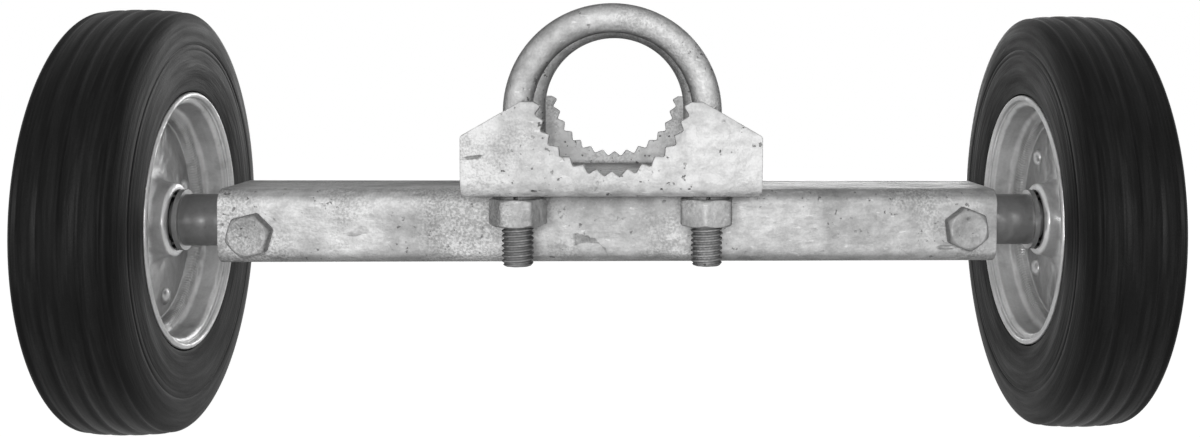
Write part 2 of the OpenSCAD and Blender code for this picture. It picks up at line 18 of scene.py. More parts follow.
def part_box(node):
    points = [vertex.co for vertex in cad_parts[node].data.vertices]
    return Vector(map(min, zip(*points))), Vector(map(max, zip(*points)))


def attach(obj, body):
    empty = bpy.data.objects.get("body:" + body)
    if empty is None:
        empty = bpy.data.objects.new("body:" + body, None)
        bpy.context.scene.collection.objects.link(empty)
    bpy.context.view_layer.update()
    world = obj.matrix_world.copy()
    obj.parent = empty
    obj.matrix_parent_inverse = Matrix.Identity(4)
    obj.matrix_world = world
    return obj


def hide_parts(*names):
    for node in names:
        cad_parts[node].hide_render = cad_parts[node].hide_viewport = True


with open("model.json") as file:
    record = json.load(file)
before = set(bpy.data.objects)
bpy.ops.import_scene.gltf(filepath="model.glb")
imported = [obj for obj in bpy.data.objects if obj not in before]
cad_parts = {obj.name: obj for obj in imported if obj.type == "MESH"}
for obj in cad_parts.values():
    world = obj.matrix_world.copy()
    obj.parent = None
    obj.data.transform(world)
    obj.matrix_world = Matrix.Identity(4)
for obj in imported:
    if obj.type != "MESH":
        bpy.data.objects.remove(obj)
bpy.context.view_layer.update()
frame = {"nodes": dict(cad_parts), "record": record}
for plain in list(bpy.data.materials):
    bpy.data.materials.remove(plain)
scene = bpy.context.scene
MM = 0.001
SIDES = {"left": -1, "right": 1}
ENDS = {"front": -1, "rear": 1}

# %% [markdown]
# ## Places from the frame
# The frame's boxes give the driving places: the axle line, the middle of each wheel, the faces of the
# beam and the planes of the saddle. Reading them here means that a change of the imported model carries
# through to every piece that is made below.


# %% Places and sizes from the frame
def middle(node):
    lo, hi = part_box(node)
    return (lo + hi) / 2


def span(node):
    lo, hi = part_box(node)
    return hi - lo


axle_z = middle("right_stub_axle").z
wheel_x = middle("right_tyre").x
tyre_r = span("right_tyre").z / 2
tyre_half_w = span("right_tyre").x / 2
beam_half_l = span("beam").x / 2
beam_half_d = span("beam").y / 2
beam_lo_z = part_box("beam")[0].z
beam_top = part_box("beam")[1].z
print("axle height", round(axle_z, 4), "wheel middle", round(wheel_x, 4), "beam top", round(beam_top, 4))

# %% [markdown]
# ## Camera
# The carrier is seen from the front, a little above the saddle. A long sideways object looks calm with
# a level horizon, so most of the downward framing comes from the lens shift and only a little from
# tilting the camera.

# %% Camera
CAMERA_PLACE = (0.005, -0.5245, 0.1501)
CAMERA_TILT = 90 - 2.29
CAMERA_ROLL = -0.28
CAMERA_TURN = -2.74
camera_data = bpy.data.cameras.new("camera")
camera = bpy.data.objects.new("camera", camera_data)
scene.collection.objects.link(camera)
scene.camera = camera
camera_data.sensor_width = 36
camera_data.lens = 37.05
camera_data.shift_x = -0.0707
camera_data.shift_y = -0.0805
camera.location = CAMERA_PLACE
camera.rotation_euler = [math.radians(angle) for angle in (CAMERA_TILT, CAMERA_ROLL, CAMERA_TURN)]
camera_data.clip_start = 0.01
print("camera lens", camera_data.lens, "mm")

# %% [markdown]
# ## Nodes by hand
# Materials and geometry trees are both built from nodes. They could be wired by hand in the editor,
# but a few small helpers keep them readable in a script: one adds a node with its settings and
# inputs, one does arithmetic on sockets, and the others stand on those two.


# %% Node helpers
def add(tree, kind, inputs=None, **settings):
    node = tree.nodes.new(kind)
    for key, value in settings.items():
        setattr(node, key, value)
    for key, value in (inputs or {}).items():
        if isinstance(value, bpy.types.NodeSocket):
            tree.links.new(value, node.inputs[key])
        else:
            node.inputs[key].default_value = value
    return node


def calc(tree, operation, *values):
    node = add(tree, "ShaderNodeMath", dict(enumerate(values)), operation=operation)
    return node.outputs[0]


def separated(tree, vector):
    """The sockets X, Y and Z of a vector socket."""
    return add(tree, "ShaderNodeSeparateXYZ", {0: vector}).outputs


def product(tree, first, *others):
    for other in others:
        first = calc(tree, "MULTIPLY", first, other)
    return first


def ranged(tree, value, from_low, from_high, low, high):
    inputs = {"Value": value, 1: from_low, 2: from_high, 3: low, 4: high}
    return add(tree, "ShaderNodeMapRange", inputs).outputs["Result"]


# %% [markdown]
# ## Textures in real places
# Every finish reads Object coordinates, which here are metres in the frame, so a texture's scale is in
# features per metre. Wheels want patterns that run round the axle. For them the coordinates are turned
# into distance from the wheel's middle, radius and direction, and the direction is fed in as a sine
# and a cosine, so that no seam shows where the angle wraps.


# %% Texture helpers
def object_place(tree, stretch=(1, 1, 1)):
    where = add(tree, "ShaderNodeTexCoord").outputs["Object"]
    return add(tree, "ShaderNodeMapping", {"Vector": where, "Scale": stretch}).outputs["Vector"]


def patches(tree, where, scale, low, high, detail=3.0, spread=0.16, centre=0.5):
    texture = add(tree, "ShaderNodeTexNoise", {"Vector": where, "Scale": scale, "Detail": detail})
    return ranged(tree, texture.outputs["Fac"], centre - spread, centre + spread, low, high)


def cells(tree, where, scale, low, high):
    texture = add(tree, "ShaderNodeTexVoronoi", {"Vector": where, "Scale": scale})
    shade = add(tree, "ShaderNodeSeparateColor", {"Color": texture.outputs["Color"]}).outputs[0]
    return ranged(tree, shade, 0, 1, low, high)


def length_of(tree, a, b):
    """The length of the slanting side over two square ones."""
    return calc(tree, "SQRT", calc(tree, "ADD", calc(tree, "POWER", a, 2), calc(tree, "POWER", b, 2)))


def around_wheel(tree):
    place = separated(tree, add(tree, "ShaderNodeTexCoord").outputs["Object"])
    out = calc(tree, "SUBTRACT", calc(tree, "ABSOLUTE", place["X"]), wheel_x)
    up = calc(tree, "SUBTRACT", place["Z"], axle_z)
    back = place["Y"]
    radius = length_of(tree, up, back)
    angle = calc(tree, "ARCTAN2", back, up)
    return out, radius, angle


def ring_noise(tree, out, radius, angle, across, along, low, high, detail=3.0, spread=0.16):
    """Noise that runs round the axle: fine across the rings, long along them."""
    place = add(tree, "ShaderNodeCombineXYZ", {
        "X": calc(tree, "MULTIPLY", out, across),
        "Y": calc(tree, "MULTIPLY", radius, across),
        "Z": calc(tree, "MULTIPLY", calc(tree, "SINE", angle), along),
    }).outputs[0]
    w = calc(tree, "MULTIPLY", calc(tree, "COSINE", angle), along)
    texture = add(tree, "ShaderNodeTexNoise", {"Vector": place, "W": w, "Scale": 1, "Detail": detail},
                  noise_dimensions="4D")
    return ranged(tree, texture.outputs["Fac"], 0.5 - spread, 0.5 + spread, low, high)


def bumped(tree, height, distance, under=None):
    inputs = {"Height": height, "Distance": distance, "Strength": 1}
    if under is not None:
        inputs["Normal"] = under
    return add(tree, "ShaderNodeBump", inputs).outputs["Normal"]


def start_finish(name, metallic, specular):
    material = bpy.data.materials.new(name)
    material.use_nodes = True
    shader = material.node_tree.nodes["Principled BSDF"]
    shader.inputs["Metallic"].default_value = metallic
    shader.inputs["Specular IOR Level"].default_value = specular
    return material, material.node_tree, shader


def connect(tree, shader, shade, roughness, normal):
    tree.links.new(shade, shader.inputs["Base Color"])
    tree.links.new(roughness, shader.inputs["Roughness"])
    tree.links.new(normal, shader.inputs["Normal"])


# %% [markdown]
# ## Hot-dip galvanising
# The beam, saddle, U-bolts and their nuts were dipped in molten zinc. The coat is pale and dull, with
# soft cloudy patches, crystals a few millimetres across, bright flecks where the zinc froze smooth, which
# also serve as painted glints, and small dark pits of dross. It is rougher than plating, so a wavy bump
# goes under a fine grain. A low metallic value keeps it dull: it takes light as a pale surface does, with
# only some reflection. Shade is painted in as well, on faces turned away from the front and by height.


# %% A scrape on the tube
SCRAPE_MIDDLE = (-15.5 * MM, beam_lo_z - 2.5 * MM)
SCRAPE_R = 15 * MM


def scrape(tree):
    """A curved scrape on the front of the tube, a thin line that widens into a torn patch at the left."""
    place = separated(tree, add(tree, "ShaderNodeTexCoord").outputs["Object"])
    right = calc(tree, "SUBTRACT", place["X"], SCRAPE_MIDDLE[0])
    up = calc(tree, "SUBTRACT", place["Z"], SCRAPE_MIDDLE[1])
    around = calc(tree, "ARCTAN2", up, right)
    torn = patches(tree, object_place(tree), 420, -0.7 * MM, 0.7 * MM, detail=4)
    torn_edge = calc(tree, "ADD", SCRAPE_R, calc(tree, "MULTIPLY", torn, 0.6))
    depth = calc(tree, "SUBTRACT", torn_edge, length_of(tree, right, up))
    widening = ranged(tree, around, math.radians(45), math.radians(85), 0.8 * MM, 5.5 * MM)
    width = calc(tree, "ADD", torn, widening)
    inside = product(tree, ranged(tree, depth, 0, 0.25 * MM, 0, 1),
                     ranged(tree, calc(tree, "SUBTRACT", width, depth), 0, 0.5 * MM, 0, 1),
                     ranged(tree, around, math.radians(22), math.radians(32), 0, 1),
                     ranged(tree, around, math.radians(88), math.radians(94), 1, 0),
                     ranged(tree, place["Y"], 0, -1 * MM, 0, 1))
    streaks = patches(tree, object_place(tree), 260, 0.3, 0.7, detail=5, spread=0.1)
    return calc(tree, "ADD", 1, calc(tree, "MULTIPLY", inside, calc(tree, "SUBTRACT", streaks, 1)))


# %% A galvanised finish
def galvanised(name, tone, stretch=(1, 1, 1), clouds=0.2, grain=1.0, marks=1.0, rough=0.5,
               turned=(1.0, 0.72, 0.96), painted_height_shade=None, scraped=False, painted_shade_above=None):
    """Cloudy zinc. Stretch draws the clouds out along an axis and marks sets the dross and scratches.
    Turned is a painted shade: the tone of faces turned away from the front, and the two limits of that
    turn. The height step paints shade: where it starts and ends, and the tone on both sides. Above the
    given height, faces that don't look along Y, such as the sheared edges and the saddle web's top, get a
    painted shade."""
    material, tree, shader = start_finish(name, metallic=0.05, specular=0.22)
    here = object_place(tree)
    drawn = object_place(tree, stretch)
    cloud = patches(tree, drawn, 26, 1 - clouds, 1 + clouds * 0.55, detail=5, spread=0.14)
    blots = patches(tree, here, 85, 1 - clouds * 0.5, 1 + clouds * 0.3, detail=5, spread=0.12)
    crystals = cells(tree, here, 300, 0.97, 1.025)
    runs = patches(tree, object_place(tree, (1, 1, 0.3)), 150, 0.93, 1.05, detail=4, spread=0.1)
    coarse = patches(tree, here, 30, 0, 1, detail=4, spread=0.07, centre=0.55)
    speckle = patches(tree, here, 1100, 1 - 0.34 * grain, 1 + 0.3 * grain, detail=2, spread=0.12)
    grained = calc(tree, "ADD", 1, calc(tree, "MULTIPLY", calc(tree, "SUBTRACT", speckle, 1),
                                        ranged(tree, coarse, 0, 1, 0.22, 1)))
    # Bright flecks of smooth zinc, which also serve as painted glints.
    fleck_place = object_place(tree, (0.35, 1, 1))
    flecks_and_glints = patches(tree, fleck_place, 520, 1.0, 1.35, detail=3, spread=0.03, centre=0.68)
    sparse = patches(tree, here, 45, 0, 1, detail=2, spread=0.05, centre=0.47)
    pits = patches(tree, here, 420, 1 - 0.6 * marks, 1, detail=3, spread=0.025, centre=0.33)
    pitted = calc(tree, "MAXIMUM", pits, sparse)
    scratch_place = object_place(tree, (0.16, 1, 1))
    scratches = patches(tree, scratch_place, 260, 1 - 0.5 * marks, 1, detail=4, spread=0.02, centre=0.3)
    rare = patches(tree, here, 36, 0, 1, detail=3, spread=0.03, centre=0.44)
    scratched = calc(tree, "MAXIMUM", scratches, rare)
    wrinkles = patches(tree, object_place(tree, (0.6, 1, 1)), 330, 0.9, 1.06, detail=5, spread=0.1)
    shade = product(tree, cloud, blots, crystals, runs, wrinkles, grained, flecks_and_glints, pitted, scratched, tone)
    facing = calc(tree, "ABSOLUTE", separated(tree, add(tree, "ShaderNodeTexCoord").outputs["Normal"])["Y"])
    height = separated(tree, here)["Z"]
    # Painted shade: faces turned away from the front are darker.
    painted_turn_shade, across, along = turned
    shade = product(tree, shade, ranged(tree, facing, across, along, painted_turn_shade, 1))
    # Painted shade by height: a step in tone.
    if painted_height_shade is not None:
        shade = product(tree, shade, ranged(tree, height, *painted_height_shade))
    if scraped:
        shade = product(tree, shade, scrape(tree))
    # Painted shade on the sheared edges and the web's top above a height.
    if painted_shade_above is not None:
        edge = ranged(tree, facing, 0.2, 0.6, 0.5, 1)
        below = ranged(tree, height, painted_shade_above, painted_shade_above + 0.5 * MM, 1, 0)
        shade = product(tree, shade, calc(tree, "MAXIMUM", edge, below))
    shade = calc(tree, "MINIMUM", shade, 0.95)
    roughness = ranged(tree, cloud, 1 - clouds, 1 + clouds / 2, rough + 0.12, rough - 0.06)
    waves = bumped(tree, patches(tree, drawn, 110, 0, 1, detail=4), 0.0008)
    pocks = bumped(tree, product(tree, pitted, scratched), 0.0003, waves)
    normal = bumped(tree, grained, 0.0003 * grain, pocks)
    connect(tree, shader, shade, roughness, normal)
    return material


# %% Galvanised finishes
# Painted shade: the U-bolt legs are darker below a little above the saddle's web, for the shade in the
# thread roots, and the lock washers are darker at their tops, in the gap under the saddle's web.
THREAD_PAINTED_SHADE = (beam_top + 7 * MM, beam_top + 8 * MM, 0.58, 1)
WASHER_PAINTED_SHADE = (beam_top - 2.1 * MM, beam_top - 1.5 * MM, 1, 0.35)
# Turned paints shade on faces turned away from the front; on the rods it makes the dark edges.
galvanised_tube = galvanised("galvanised_tube", 0.74, stretch=(0.55, 1, 1), clouds=0.24, grain=0.8,
                             turned=(0.6, 0.8, 0.985), scraped=True)
galvanised_plate = galvanised("galvanised_plate", 0.94, clouds=0.2, grain=0.6, marks=1.3,
                              turned=(0.86, 0.6, 0.96), painted_shade_above=beam_top + 4.4 * MM)
galvanised_rod = galvanised("galvanised_rod", 0.84, clouds=0.24, grain=0.8, marks=1.3,
                            turned=(0.16, 0.26, 1.0), painted_height_shade=THREAD_PAINTED_SHADE)
galvanised_weld = galvanised("galvanised_weld", 0.55, clouds=0.2)
galvanised_fastener = galvanised("galvanised_fastener", 0.66, grain=0.9, marks=0.5,
                                 turned=(0.66, 0.6, 0.98), painted_height_shade=WASHER_PAINTED_SHADE)
zinc_fastener = galvanised("zinc_fastener", 0.57, clouds=0.26, grain=0.8, marks=1.1, rough=0.4,
                           turned=(0.5, 0.6, 0.99))
print("galvanised tube nodes:", len(galvanised_tube.node_tree.nodes))

# %% [markdown]
# ## Zinc-plated pressings
# The wheel discs, rivets and washers were plated, which leaves a thin bright coat over smooth pressed
# sheet. It shines more than galvanising and carries faint rings from the press and from handling. On the
# discs a painted highlight brightens the hub and the wall, and a painted shade darkens the trough.


# %% Plated and bare steel finishes
def plated(name, tone, metallic, rough_low, rough_high, ring_bump=0.00002, ticks=None, steps=()):
    material, tree, shader = start_finish(name, metallic=metallic, specular=0.4)
    out, radius, angle = around_wheel(tree)
    here = object_place(tree)
    rings = ring_noise(tree, out, radius, angle, 700, 1.5, 0.96, 1.04)
    cloud = patches(tree, here, 50, 0.86, 1.1, detail=4)
    fine = patches(tree, here, 900, 0.96, 1.04)
    stains = patches(tree, here, 120, 0.82, 1.0, detail=4, spread=0.05, centre=0.36)
    shade = product(tree, rings, cloud, fine, stains, tone)
    roughness = ranged(tree, cloud, 0.86, 1.1, rough_high, rough_low)
    waves = bumped(tree, patches(tree, here, 60, 0, 1, detail=2), 0.0009)
    normal = bumped(tree, rings, ring_bump, waves)
    # Painted light by radius: each step scales the tone between two radii.
    for step in steps:
        shade = product(tree, shade, ranged(tree, radius, *step))
    if ticks is not None:
        low_r, high_r, count = ticks
        wave = calc(tree, "SINE", calc(tree, "MULTIPLY", angle, count))
        near = calc(tree, "MULTIPLY", ranged(tree, radius, low_r, low_r + 0.4 * MM, 0, 1),
                    ranged(tree, radius, high_r - 0.4 * MM, high_r, 1, 0))
        broken = patches(tree, here, 160, 0.2, 1, detail=2)
        tick = product(tree, wave, near, broken)
        shade = product(tree, shade, ranged(tree, tick, -1, 1, 0.84, 1.16))
        normal = bumped(tree, tick, 0.00008, normal)
    connect(tree, shader, shade, roughness, normal)
    return material


LEDGE_TICKS = (43.0 * MM, 46.6 * MM, 216)
# Painted highlight on the hub and the wall, painted shade in the trough between them.
HUB_PAINTED_LIGHT = (16 * MM, 26 * MM, 1.4, 0.82)
WALL_PAINTED_LIGHT = (44 * MM, 49 * MM, 0.92, 1.2)
zinc_pressing = plated("zinc_pressing", 0.66, 0.35, 0.3, 0.42, ticks=LEDGE_TICKS,
                       steps=(HUB_PAINTED_LIGHT, WALL_PAINTED_LIGHT))
zinc_rivet = plated("zinc_rivet", 0.72, 0.35, 0.26, 0.4)
plain_washer_steel = plated("plain_washer_steel", 0.42, 0.6, 0.3, 0.45)
bare_axle_steel = plated("bare_axle_steel", 0.2, 0.35, 0.34, 0.5, ring_bump=0.00006)
bearing_steel = plated("bearing_steel", 0.09, 0.6, 0.25, 0.4)
cage_steel = plated("cage_steel", 0.06, 0.6, 0.35, 0.5)
print("plated disc nodes:", len(zinc_pressing.node_tree.nodes))

# %% [markdown]
# ## Rubber
# The tyres are solid moulded rubber: nearly black, matt, a little dusty. Fine lines run round them
# from the mould and from rolling, so the pattern follows the rings.


# %% Tyre finish
def rubber(name):
    material, tree, shader = start_finish(name, metallic=0, specular=0.1)
    out, radius, angle = around_wheel(tree)
    here = object_place(tree)
    lines = ring_noise(tree, out, radius, angle, 900, 1.1, 0.65, 1.45, detail=3)
    bands = ring_noise(tree, out, radius, angle, 210, 1.6, 0.7, 1.3, detail=3)
    scuffs = ring_noise(tree, out, radius, angle, 600, 3.5, 1.0, 2.4, detail=2, spread=0.05)
    dust = patches(tree, here, 48, 0.8, 1.35, detail=6)
    fine = patches(tree, here, 1500, 0.8, 1.2)
    on_tread = ranged(tree, radius, tyre_r - 9.5 * MM, tyre_r - 0.5 * MM, 0.95, 0.75)
    shade = product(tree, lines, bands, scuffs, dust, fine, on_tread, 0.0042)
    roughness = ranged(tree, bands, 0.7, 1.3, 0.62, 0.46)
    swell = bumped(tree, bands, 0.00035)
    rings = bumped(tree, lines, 0.00006, swell)
    normal = bumped(tree, fine, 0.00006, rings)
    connect(tree, shader, shade, roughness, normal)
    return material


tyre_rubber = rubber("tyre_rubber")
print("rubber nodes:", len(tyre_rubber.node_tree.nodes))

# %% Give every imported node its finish
FINISHES = {material.name: material for material in (
    galvanised_tube, galvanised_plate, galvanised_rod, galvanised_weld, galvanised_fastener,
    zinc_fastener, zinc_pressing, zinc_rivet, plain_washer_steel, bare_axle_steel, bearing_steel,
    cage_steel, tyre_rubber)}
for row in frame["record"]["subparts"]:
    slots = frame["nodes"][row["node"]].data.materials
    slots.clear()
    slots.append(FINISHES[row["material_slot"]])
print("finishes:", sorted(FINISHES))

# %% [markdown]
# ## From an outline to a piece
# Most parts here are lathe work or sheet work, so outlines come first. A corner on real metal or
# rubber is never sharp: each outline corner becomes a short arc, with a guard point beside it that
# keeps the flat next to it evenly lit.


# %% Outline helpers
def arc(centre, radius, start, end, steps):
    """Points of an arc, with angles in degrees."""
    turns = [math.radians(start + (end - start) * i / steps) for i in range(steps + 1)]
    return [Vector((centre[0] + radius * math.cos(a), centre[1] + radius * math.sin(a))) for a in turns]


def rounded(corners, steps=4, closed=True):
    """An outline from (x, y, radius) corners, each corner an arc between two guard points."""
    outline = []
    count = len(corners)
    for i, (x, y, radius) in enumerate(corners):
        here = Vector((x, y))
        if radius == 0 or (not closed and i in (0, count - 1)):
            outline.append(here)
            continue
        before = Vector(corners[i - 1][:2]) - here
        after = Vector(corners[(i + 1) % count][:2]) - here
        room = min(before.length, after.length)
        before.normalize()
        after.normalize()
        half = before.angle(after) / 2
        reach = radius / math.tan(half)
        centre = here + (before + after).normalized() * (radius / math.sin(half))
        start = here + before * reach - centre
        sweep = math.pi - 2 * half
        if start.x * before.y - start.y * before.x > 0:
            sweep = -sweep
        guard = min(0.15 * radius, 0.4 * (room - reach))
        if guard > 0:
            outline.append(here + before * (reach + guard))
        for k in range(steps + 1):
            a = sweep * k / steps
            turned = Vector((start.x * math.cos(a) - start.y * math.sin(a),
                             start.x * math.sin(a) + start.y * math.cos(a)))
            outline.append(centre + turned)
        if guard > 0:
            outline.append(here + after * (reach + guard))
    return outline


def offset_path(path, distance):
    """The same open path, moved sideways to its left by a distance."""
    moved = []
    for i, here in enumerate(path):
        along = [path[j + 1] - path[j] for j in (i - 1, i) if 0 <= j < len(path) - 1]
        sides = [Vector((-v.y, v.x)).normalized() for v in along if v.length > 0]
        side = sum(sides, Vector((0, 0))).normalized()
        moved.append(here + side * (distance / max(0.5, side.dot(sides[0]))))
    keep = [0]
    for i in range(1, len(path)):
        if (moved[i] - moved[keep[-1]]).dot(path[i] - path[i - 1]) > 0:
            keep.append(i)
    return [moved[i] for i in keep]


def link_mesh(name, points, faces):
    mesh = bpy.data.meshes.new(name)
    mesh.from_pydata([tuple(p) for p in points], [], faces)
    piece = bpy.data.objects.new(name, mesh)
    scene.collection.objects.link(piece)
    return piece


def clean(piece, sharp=32):
    """Merges doubles, turns every face outwards and marks the sharp edges."""
    work = bmesh.new()
    work.from_mesh(piece.data)
    bmesh.ops.remove_doubles(work, verts=work.verts, dist=1e-6)
    bmesh.ops.dissolve_degenerate(work, edges=work.edges, dist=1e-7)
    bmesh.ops.recalc_face_normals(work, faces=work.faces)
    if work.calc_volume(signed=True) < 0:
        bmesh.ops.reverse_faces(work, faces=work.faces)
    work.to_mesh(piece.data)
    open_edges = sum(1 for e in work.edges if not e.is_manifold)
    faces = len(work.faces)
    cubic_cm = work.calc_volume() / MM**3 / 1000
    work.free()
    piece.data.polygons.foreach_set("use_smooth", [True] * len(piece.data.polygons))
    piece.data.set_sharp_from_angle(angle=math.radians(sharp))
    print(piece.name, "faces", faces, "open edges", open_edges, "cm3", round(cubic_cm, 2))
    return piece


def dress(piece, finish, body, *nodes):
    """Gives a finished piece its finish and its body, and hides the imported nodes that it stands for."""
    piece.data.materials.clear()
    piece.data.materials.append(FINISHES[finish])
    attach(piece, body)
    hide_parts(*nodes)


# %% [markdown]
# ## A lathe made of geometry nodes
# Tyres and wheel discs are one outline swept round the axle, so one tree serves all of them. The
# modifier's own mesh holds only the outline's points, in order. A grid supplies the faces: one side of
# it counts steps round the axle, the other counts outline points, and each grid point looks up its
# outline point and is set where that step puts it.


# %% Tree helpers
def new_tree(name, base, floats, integers, vectors=()):
    """An empty geometry tree with these inputs, a finish and one output."""
    tree = bpy.data.node_groups.new(name, "GeometryNodeTree")
    inputs = [(base, "Geometry")] + [(given, "Float") for given in floats]
    inputs += [(given, "Int") for given in integers] + [(given, "Vector") for given in vectors]
    for given, kind in inputs + [("Finish", "Material")]:
        tree.interface.new_socket(given, in_out="INPUT", socket_type="NodeSocket" + kind)
    tree.interface.new_socket("Geometry", in_out="OUTPUT", socket_type="NodeSocketGeometry")
    return tree, add(tree, "NodeGroupInput").outputs


def end_tree(tree, shape, finish):
    """Makes the shape real, gives it its finish and hands it to the output."""
    real = add(tree, "GeometryNodeRealizeInstances", {"Geometry": shape})
    done = add(tree, "GeometryNodeSetMaterial", {"Geometry": real.outputs[0], "Material": finish})
    add(tree, "NodeGroupOutput", {"Geometry": done.outputs[0]})


def unit_grid(tree, vertices_x, vertices_y):
    """A grid one wide and one long, with each point's place on it counted from 0 to 1."""
    grid = add(tree, "GeometryNodeMeshGrid", {
        "Size X": 1.0, "Size Y": 1.0, "Vertices X": vertices_x, "Vertices Y": vertices_y})
    place = separated(tree, add(tree, "GeometryNodeInputPosition").outputs[0])
    return grid.outputs["Mesh"], calc(tree, "ADD", place["X"], 0.5), calc(tree, "ADD", place["Y"], 0.5)


def outline_point(tree, outline, index):
    """The place of one point of the outline."""
    looked_up = add(tree, "GeometryNodeSampleIndex", {
        "Geometry": outline, "Value": add(tree, "GeometryNodeInputPosition").outputs[0],
        "Index": index}, data_type="FLOAT_VECTOR", domain="POINT")
    return separated(tree, looked_up.outputs[0])


def bent_grid(tree, mesh, place, distance):
    """The grid with its points put at their places, and the points that meet joined."""
    spot = add(tree, "ShaderNodeCombineXYZ", place)
    moved = add(tree, "GeometryNodeSetPosition", {"Geometry": mesh, "Position": spot.outputs[0]})
    merged = add(tree, "GeometryNodeMergeByDistance", {"Geometry": moved.outputs[0], "Distance": distance})
    return merged.outputs[0]


# %% The lathe tree
def lathe_tree():
    tree, given = new_tree("lathe", "Outline", ("Wheel middle", "Side", "Axle height"), ("Steps round",))
    count = add(tree, "GeometryNodeAttributeDomainSize", {"Geometry": given["Outline"]})
    points = count.outputs["Point Count"]
    mesh, share, along = unit_grid(tree, calc(tree, "ADD", given["Steps round"], 1),
                                   calc(tree, "ADD", points, 1))
    angle = product(tree, share, 2 * math.pi)
    row = calc(tree, "MODULO", calc(tree, "ROUND", calc(tree, "MULTIPLY", along, points)), points)
    outline = outline_point(tree, given["Outline"], row)
    out = calc(tree, "ADD", outline["X"], given["Wheel middle"])
    shape = bent_grid(tree, mesh, {
        "X": calc(tree, "MULTIPLY", out, given["Side"]),
        "Y": calc(tree, "MULTIPLY", outline["Z"], calc(tree, "SINE", angle)),
        "Z": calc(tree, "MULTIPLY_ADD", outline["Z"], calc(tree, "COSINE", angle), given["Axle height"]),
    }, 1e-6)
    end_tree(tree, shape, given["Finish"])
    return tree


# %% Growing a mesh from a tree
def grow(name, tree, base, sizes):
    """Runs a geometry tree on a base mesh with these sizes, and keeps the result as a plain mesh."""
    host = bpy.data.objects.new(name + "_host", base)
    scene.collection.objects.link(host)
    modifier = host.modifiers.new("grow", "NODES")
    modifier.node_group = tree
    for item in tree.interface.items_tree:
        if item.item_type == "SOCKET" and item.in_out == "INPUT" and item.name in sizes:
            modifier[item.identifier] = sizes[item.name]
    graph = bpy.context.evaluated_depsgraph_get()
    mesh = bpy.data.meshes.new_from_object(host.evaluated_get(graph), depsgraph=graph)
    host.modifiers.remove(modifier)
    bpy.data.objects.remove(host)
    mesh.name = name
    piece = bpy.data.objects.new(name, mesh)
    scene.collection.objects.link(piece)
    return piece


lathe = lathe_tree()


def turned(name, outline, side, finish, steps):
    """A ring from an outline of (distance from the wheel's middle, radius)."""
    base = bpy.data.meshes.new(name + "_outline")
    base.from_pydata([(p[0], 0, p[1]) for p in outline], [], [])
    piece = grow(name, lathe, base, {
        "Wheel middle": wheel_x, "Side": float(side), "Axle height": axle_z,
        "Steps round": steps, "Finish": FINISHES[finish]})
    return clean(piece)


print("lathe nodes:", len(lathe.nodes))

# %% [markdown]
# ## Tyres
# A tyre is a ring of solid rubber: a seat that sits in the rim, slightly bulged sides, rounded
# shoulders and a nearly flat tread with five grooves. Two fine lines run round each side. The
# outline is worked out for one half and mirrored, and the lathe does the rest.

# %% Tyre outline
SEAT_R = 50.3 * MM
BEAD_R = 53.7 * MM
SHOULDER_R = tyre_r - 13.9 * MM
TREAD_HALF_W = 15.5 * MM
CROWN = 0.9 * MM
GROOVE_STEP = 7.045 * MM
GROOVE_W = 1.15 * MM
GROOVE_DEPTH = 0.75 * MM
TYRE_STEPS = 192
SIDE_FOOT_R = BEAD_R + 1.2 * MM
SIDE_LINES = [(SHOULDER_R - 2.8 * MM, 0.12 * MM), (SHOULDER_R - 0.5 * MM, 0.34 * MM)]


def side_point(radius):
    """A point on the bulged side, with its fine lines cut in."""
    share = (radius - SIDE_FOOT_R) / (SHOULDER_R - SIDE_FOOT_R)
    bulge = math.sin(math.pi / 2 * min(1, share / 0.625))
    out = tyre_half_w - 1.5 * MM * (1 - bulge)
    for line, depth in SIDE_LINES:
        away = (radius - line) / (0.45 * MM)
        out -= depth * math.exp(-away * away)
    return out, radius, 0


def tread_r(out):
    """Radius of the tread, crowned, with a soft worn groove at each step."""
    from_groove = abs((out / GROOVE_STEP + 0.5) % 1 - 0.5) * GROOVE_STEP
    dip = GROOVE_DEPTH * math.exp(-((from_groove / GROOVE_W) ** 2)) if out < 2.4 * GROOVE_STEP else 0
    return tyre_r - CROWN * (out / TREAD_HALF_W) ** 2 - dip


def tyre_outline():
    half = [(0, SEAT_R, 0), (12.0 * MM, SEAT_R, 0.8 * MM), (12.4 * MM, BEAD_R, 0.8 * MM),
            (15.9 * MM, BEAD_R, 0.6 * MM), (17.2 * MM, BEAD_R + 0.3 * MM, 0.5 * MM)]
    side_steps = 84
    for i in range(side_steps + 1):
        half.append(side_point(SIDE_FOOT_R + (SHOULDER_R - SIDE_FOOT_R) * i / side_steps))
    shoulder_steps = 18
    for i in range(1, shoulder_steps):
        a = math.pi / 2 * i / shoulder_steps
        half.append((TREAD_HALF_W + (tyre_half_w - TREAD_HALF_W) * math.cos(a),
                     SHOULDER_R + (tread_r(TREAD_HALF_W) - SHOULDER_R) * math.sin(a), 0))
    tread_steps = 62
    for i in range(tread_steps + 1):
        out = TREAD_HALF_W * (1 - i / tread_steps)
        half.append((out, tread_r(out), 0))
    other = [(-out, radius, bend) for out, radius, bend in reversed(half[1:])]
    return rounded(half + other, steps=4)


# %% Tyres
tyre_points = tyre_outline()
print("tyre outline points:", len(tyre_points), "highest", max(p[1] for p in tyre_points))
for side, sign in SIDES.items():
    tyre = turned(side + "_tyre_rubber", tyre_points, sign, "tyre_rubber", TYRE_STEPS)
    dress(tyre, "tyre_rubber", side + "_wheel", side + "_tyre")

# %% [markdown]
# ## Wheel discs
# Each wheel is two pressed halves riveted back to back. The sheet starts at the hub cup, which holds a
# ball bearing, turns out into a flat trough, steps up to a ledge, runs out along a deep wall under the
# tyre and ends in a flange with a rolled lip. The middle line of the sheet is written once and given
# its thickness by moving it to both sides.

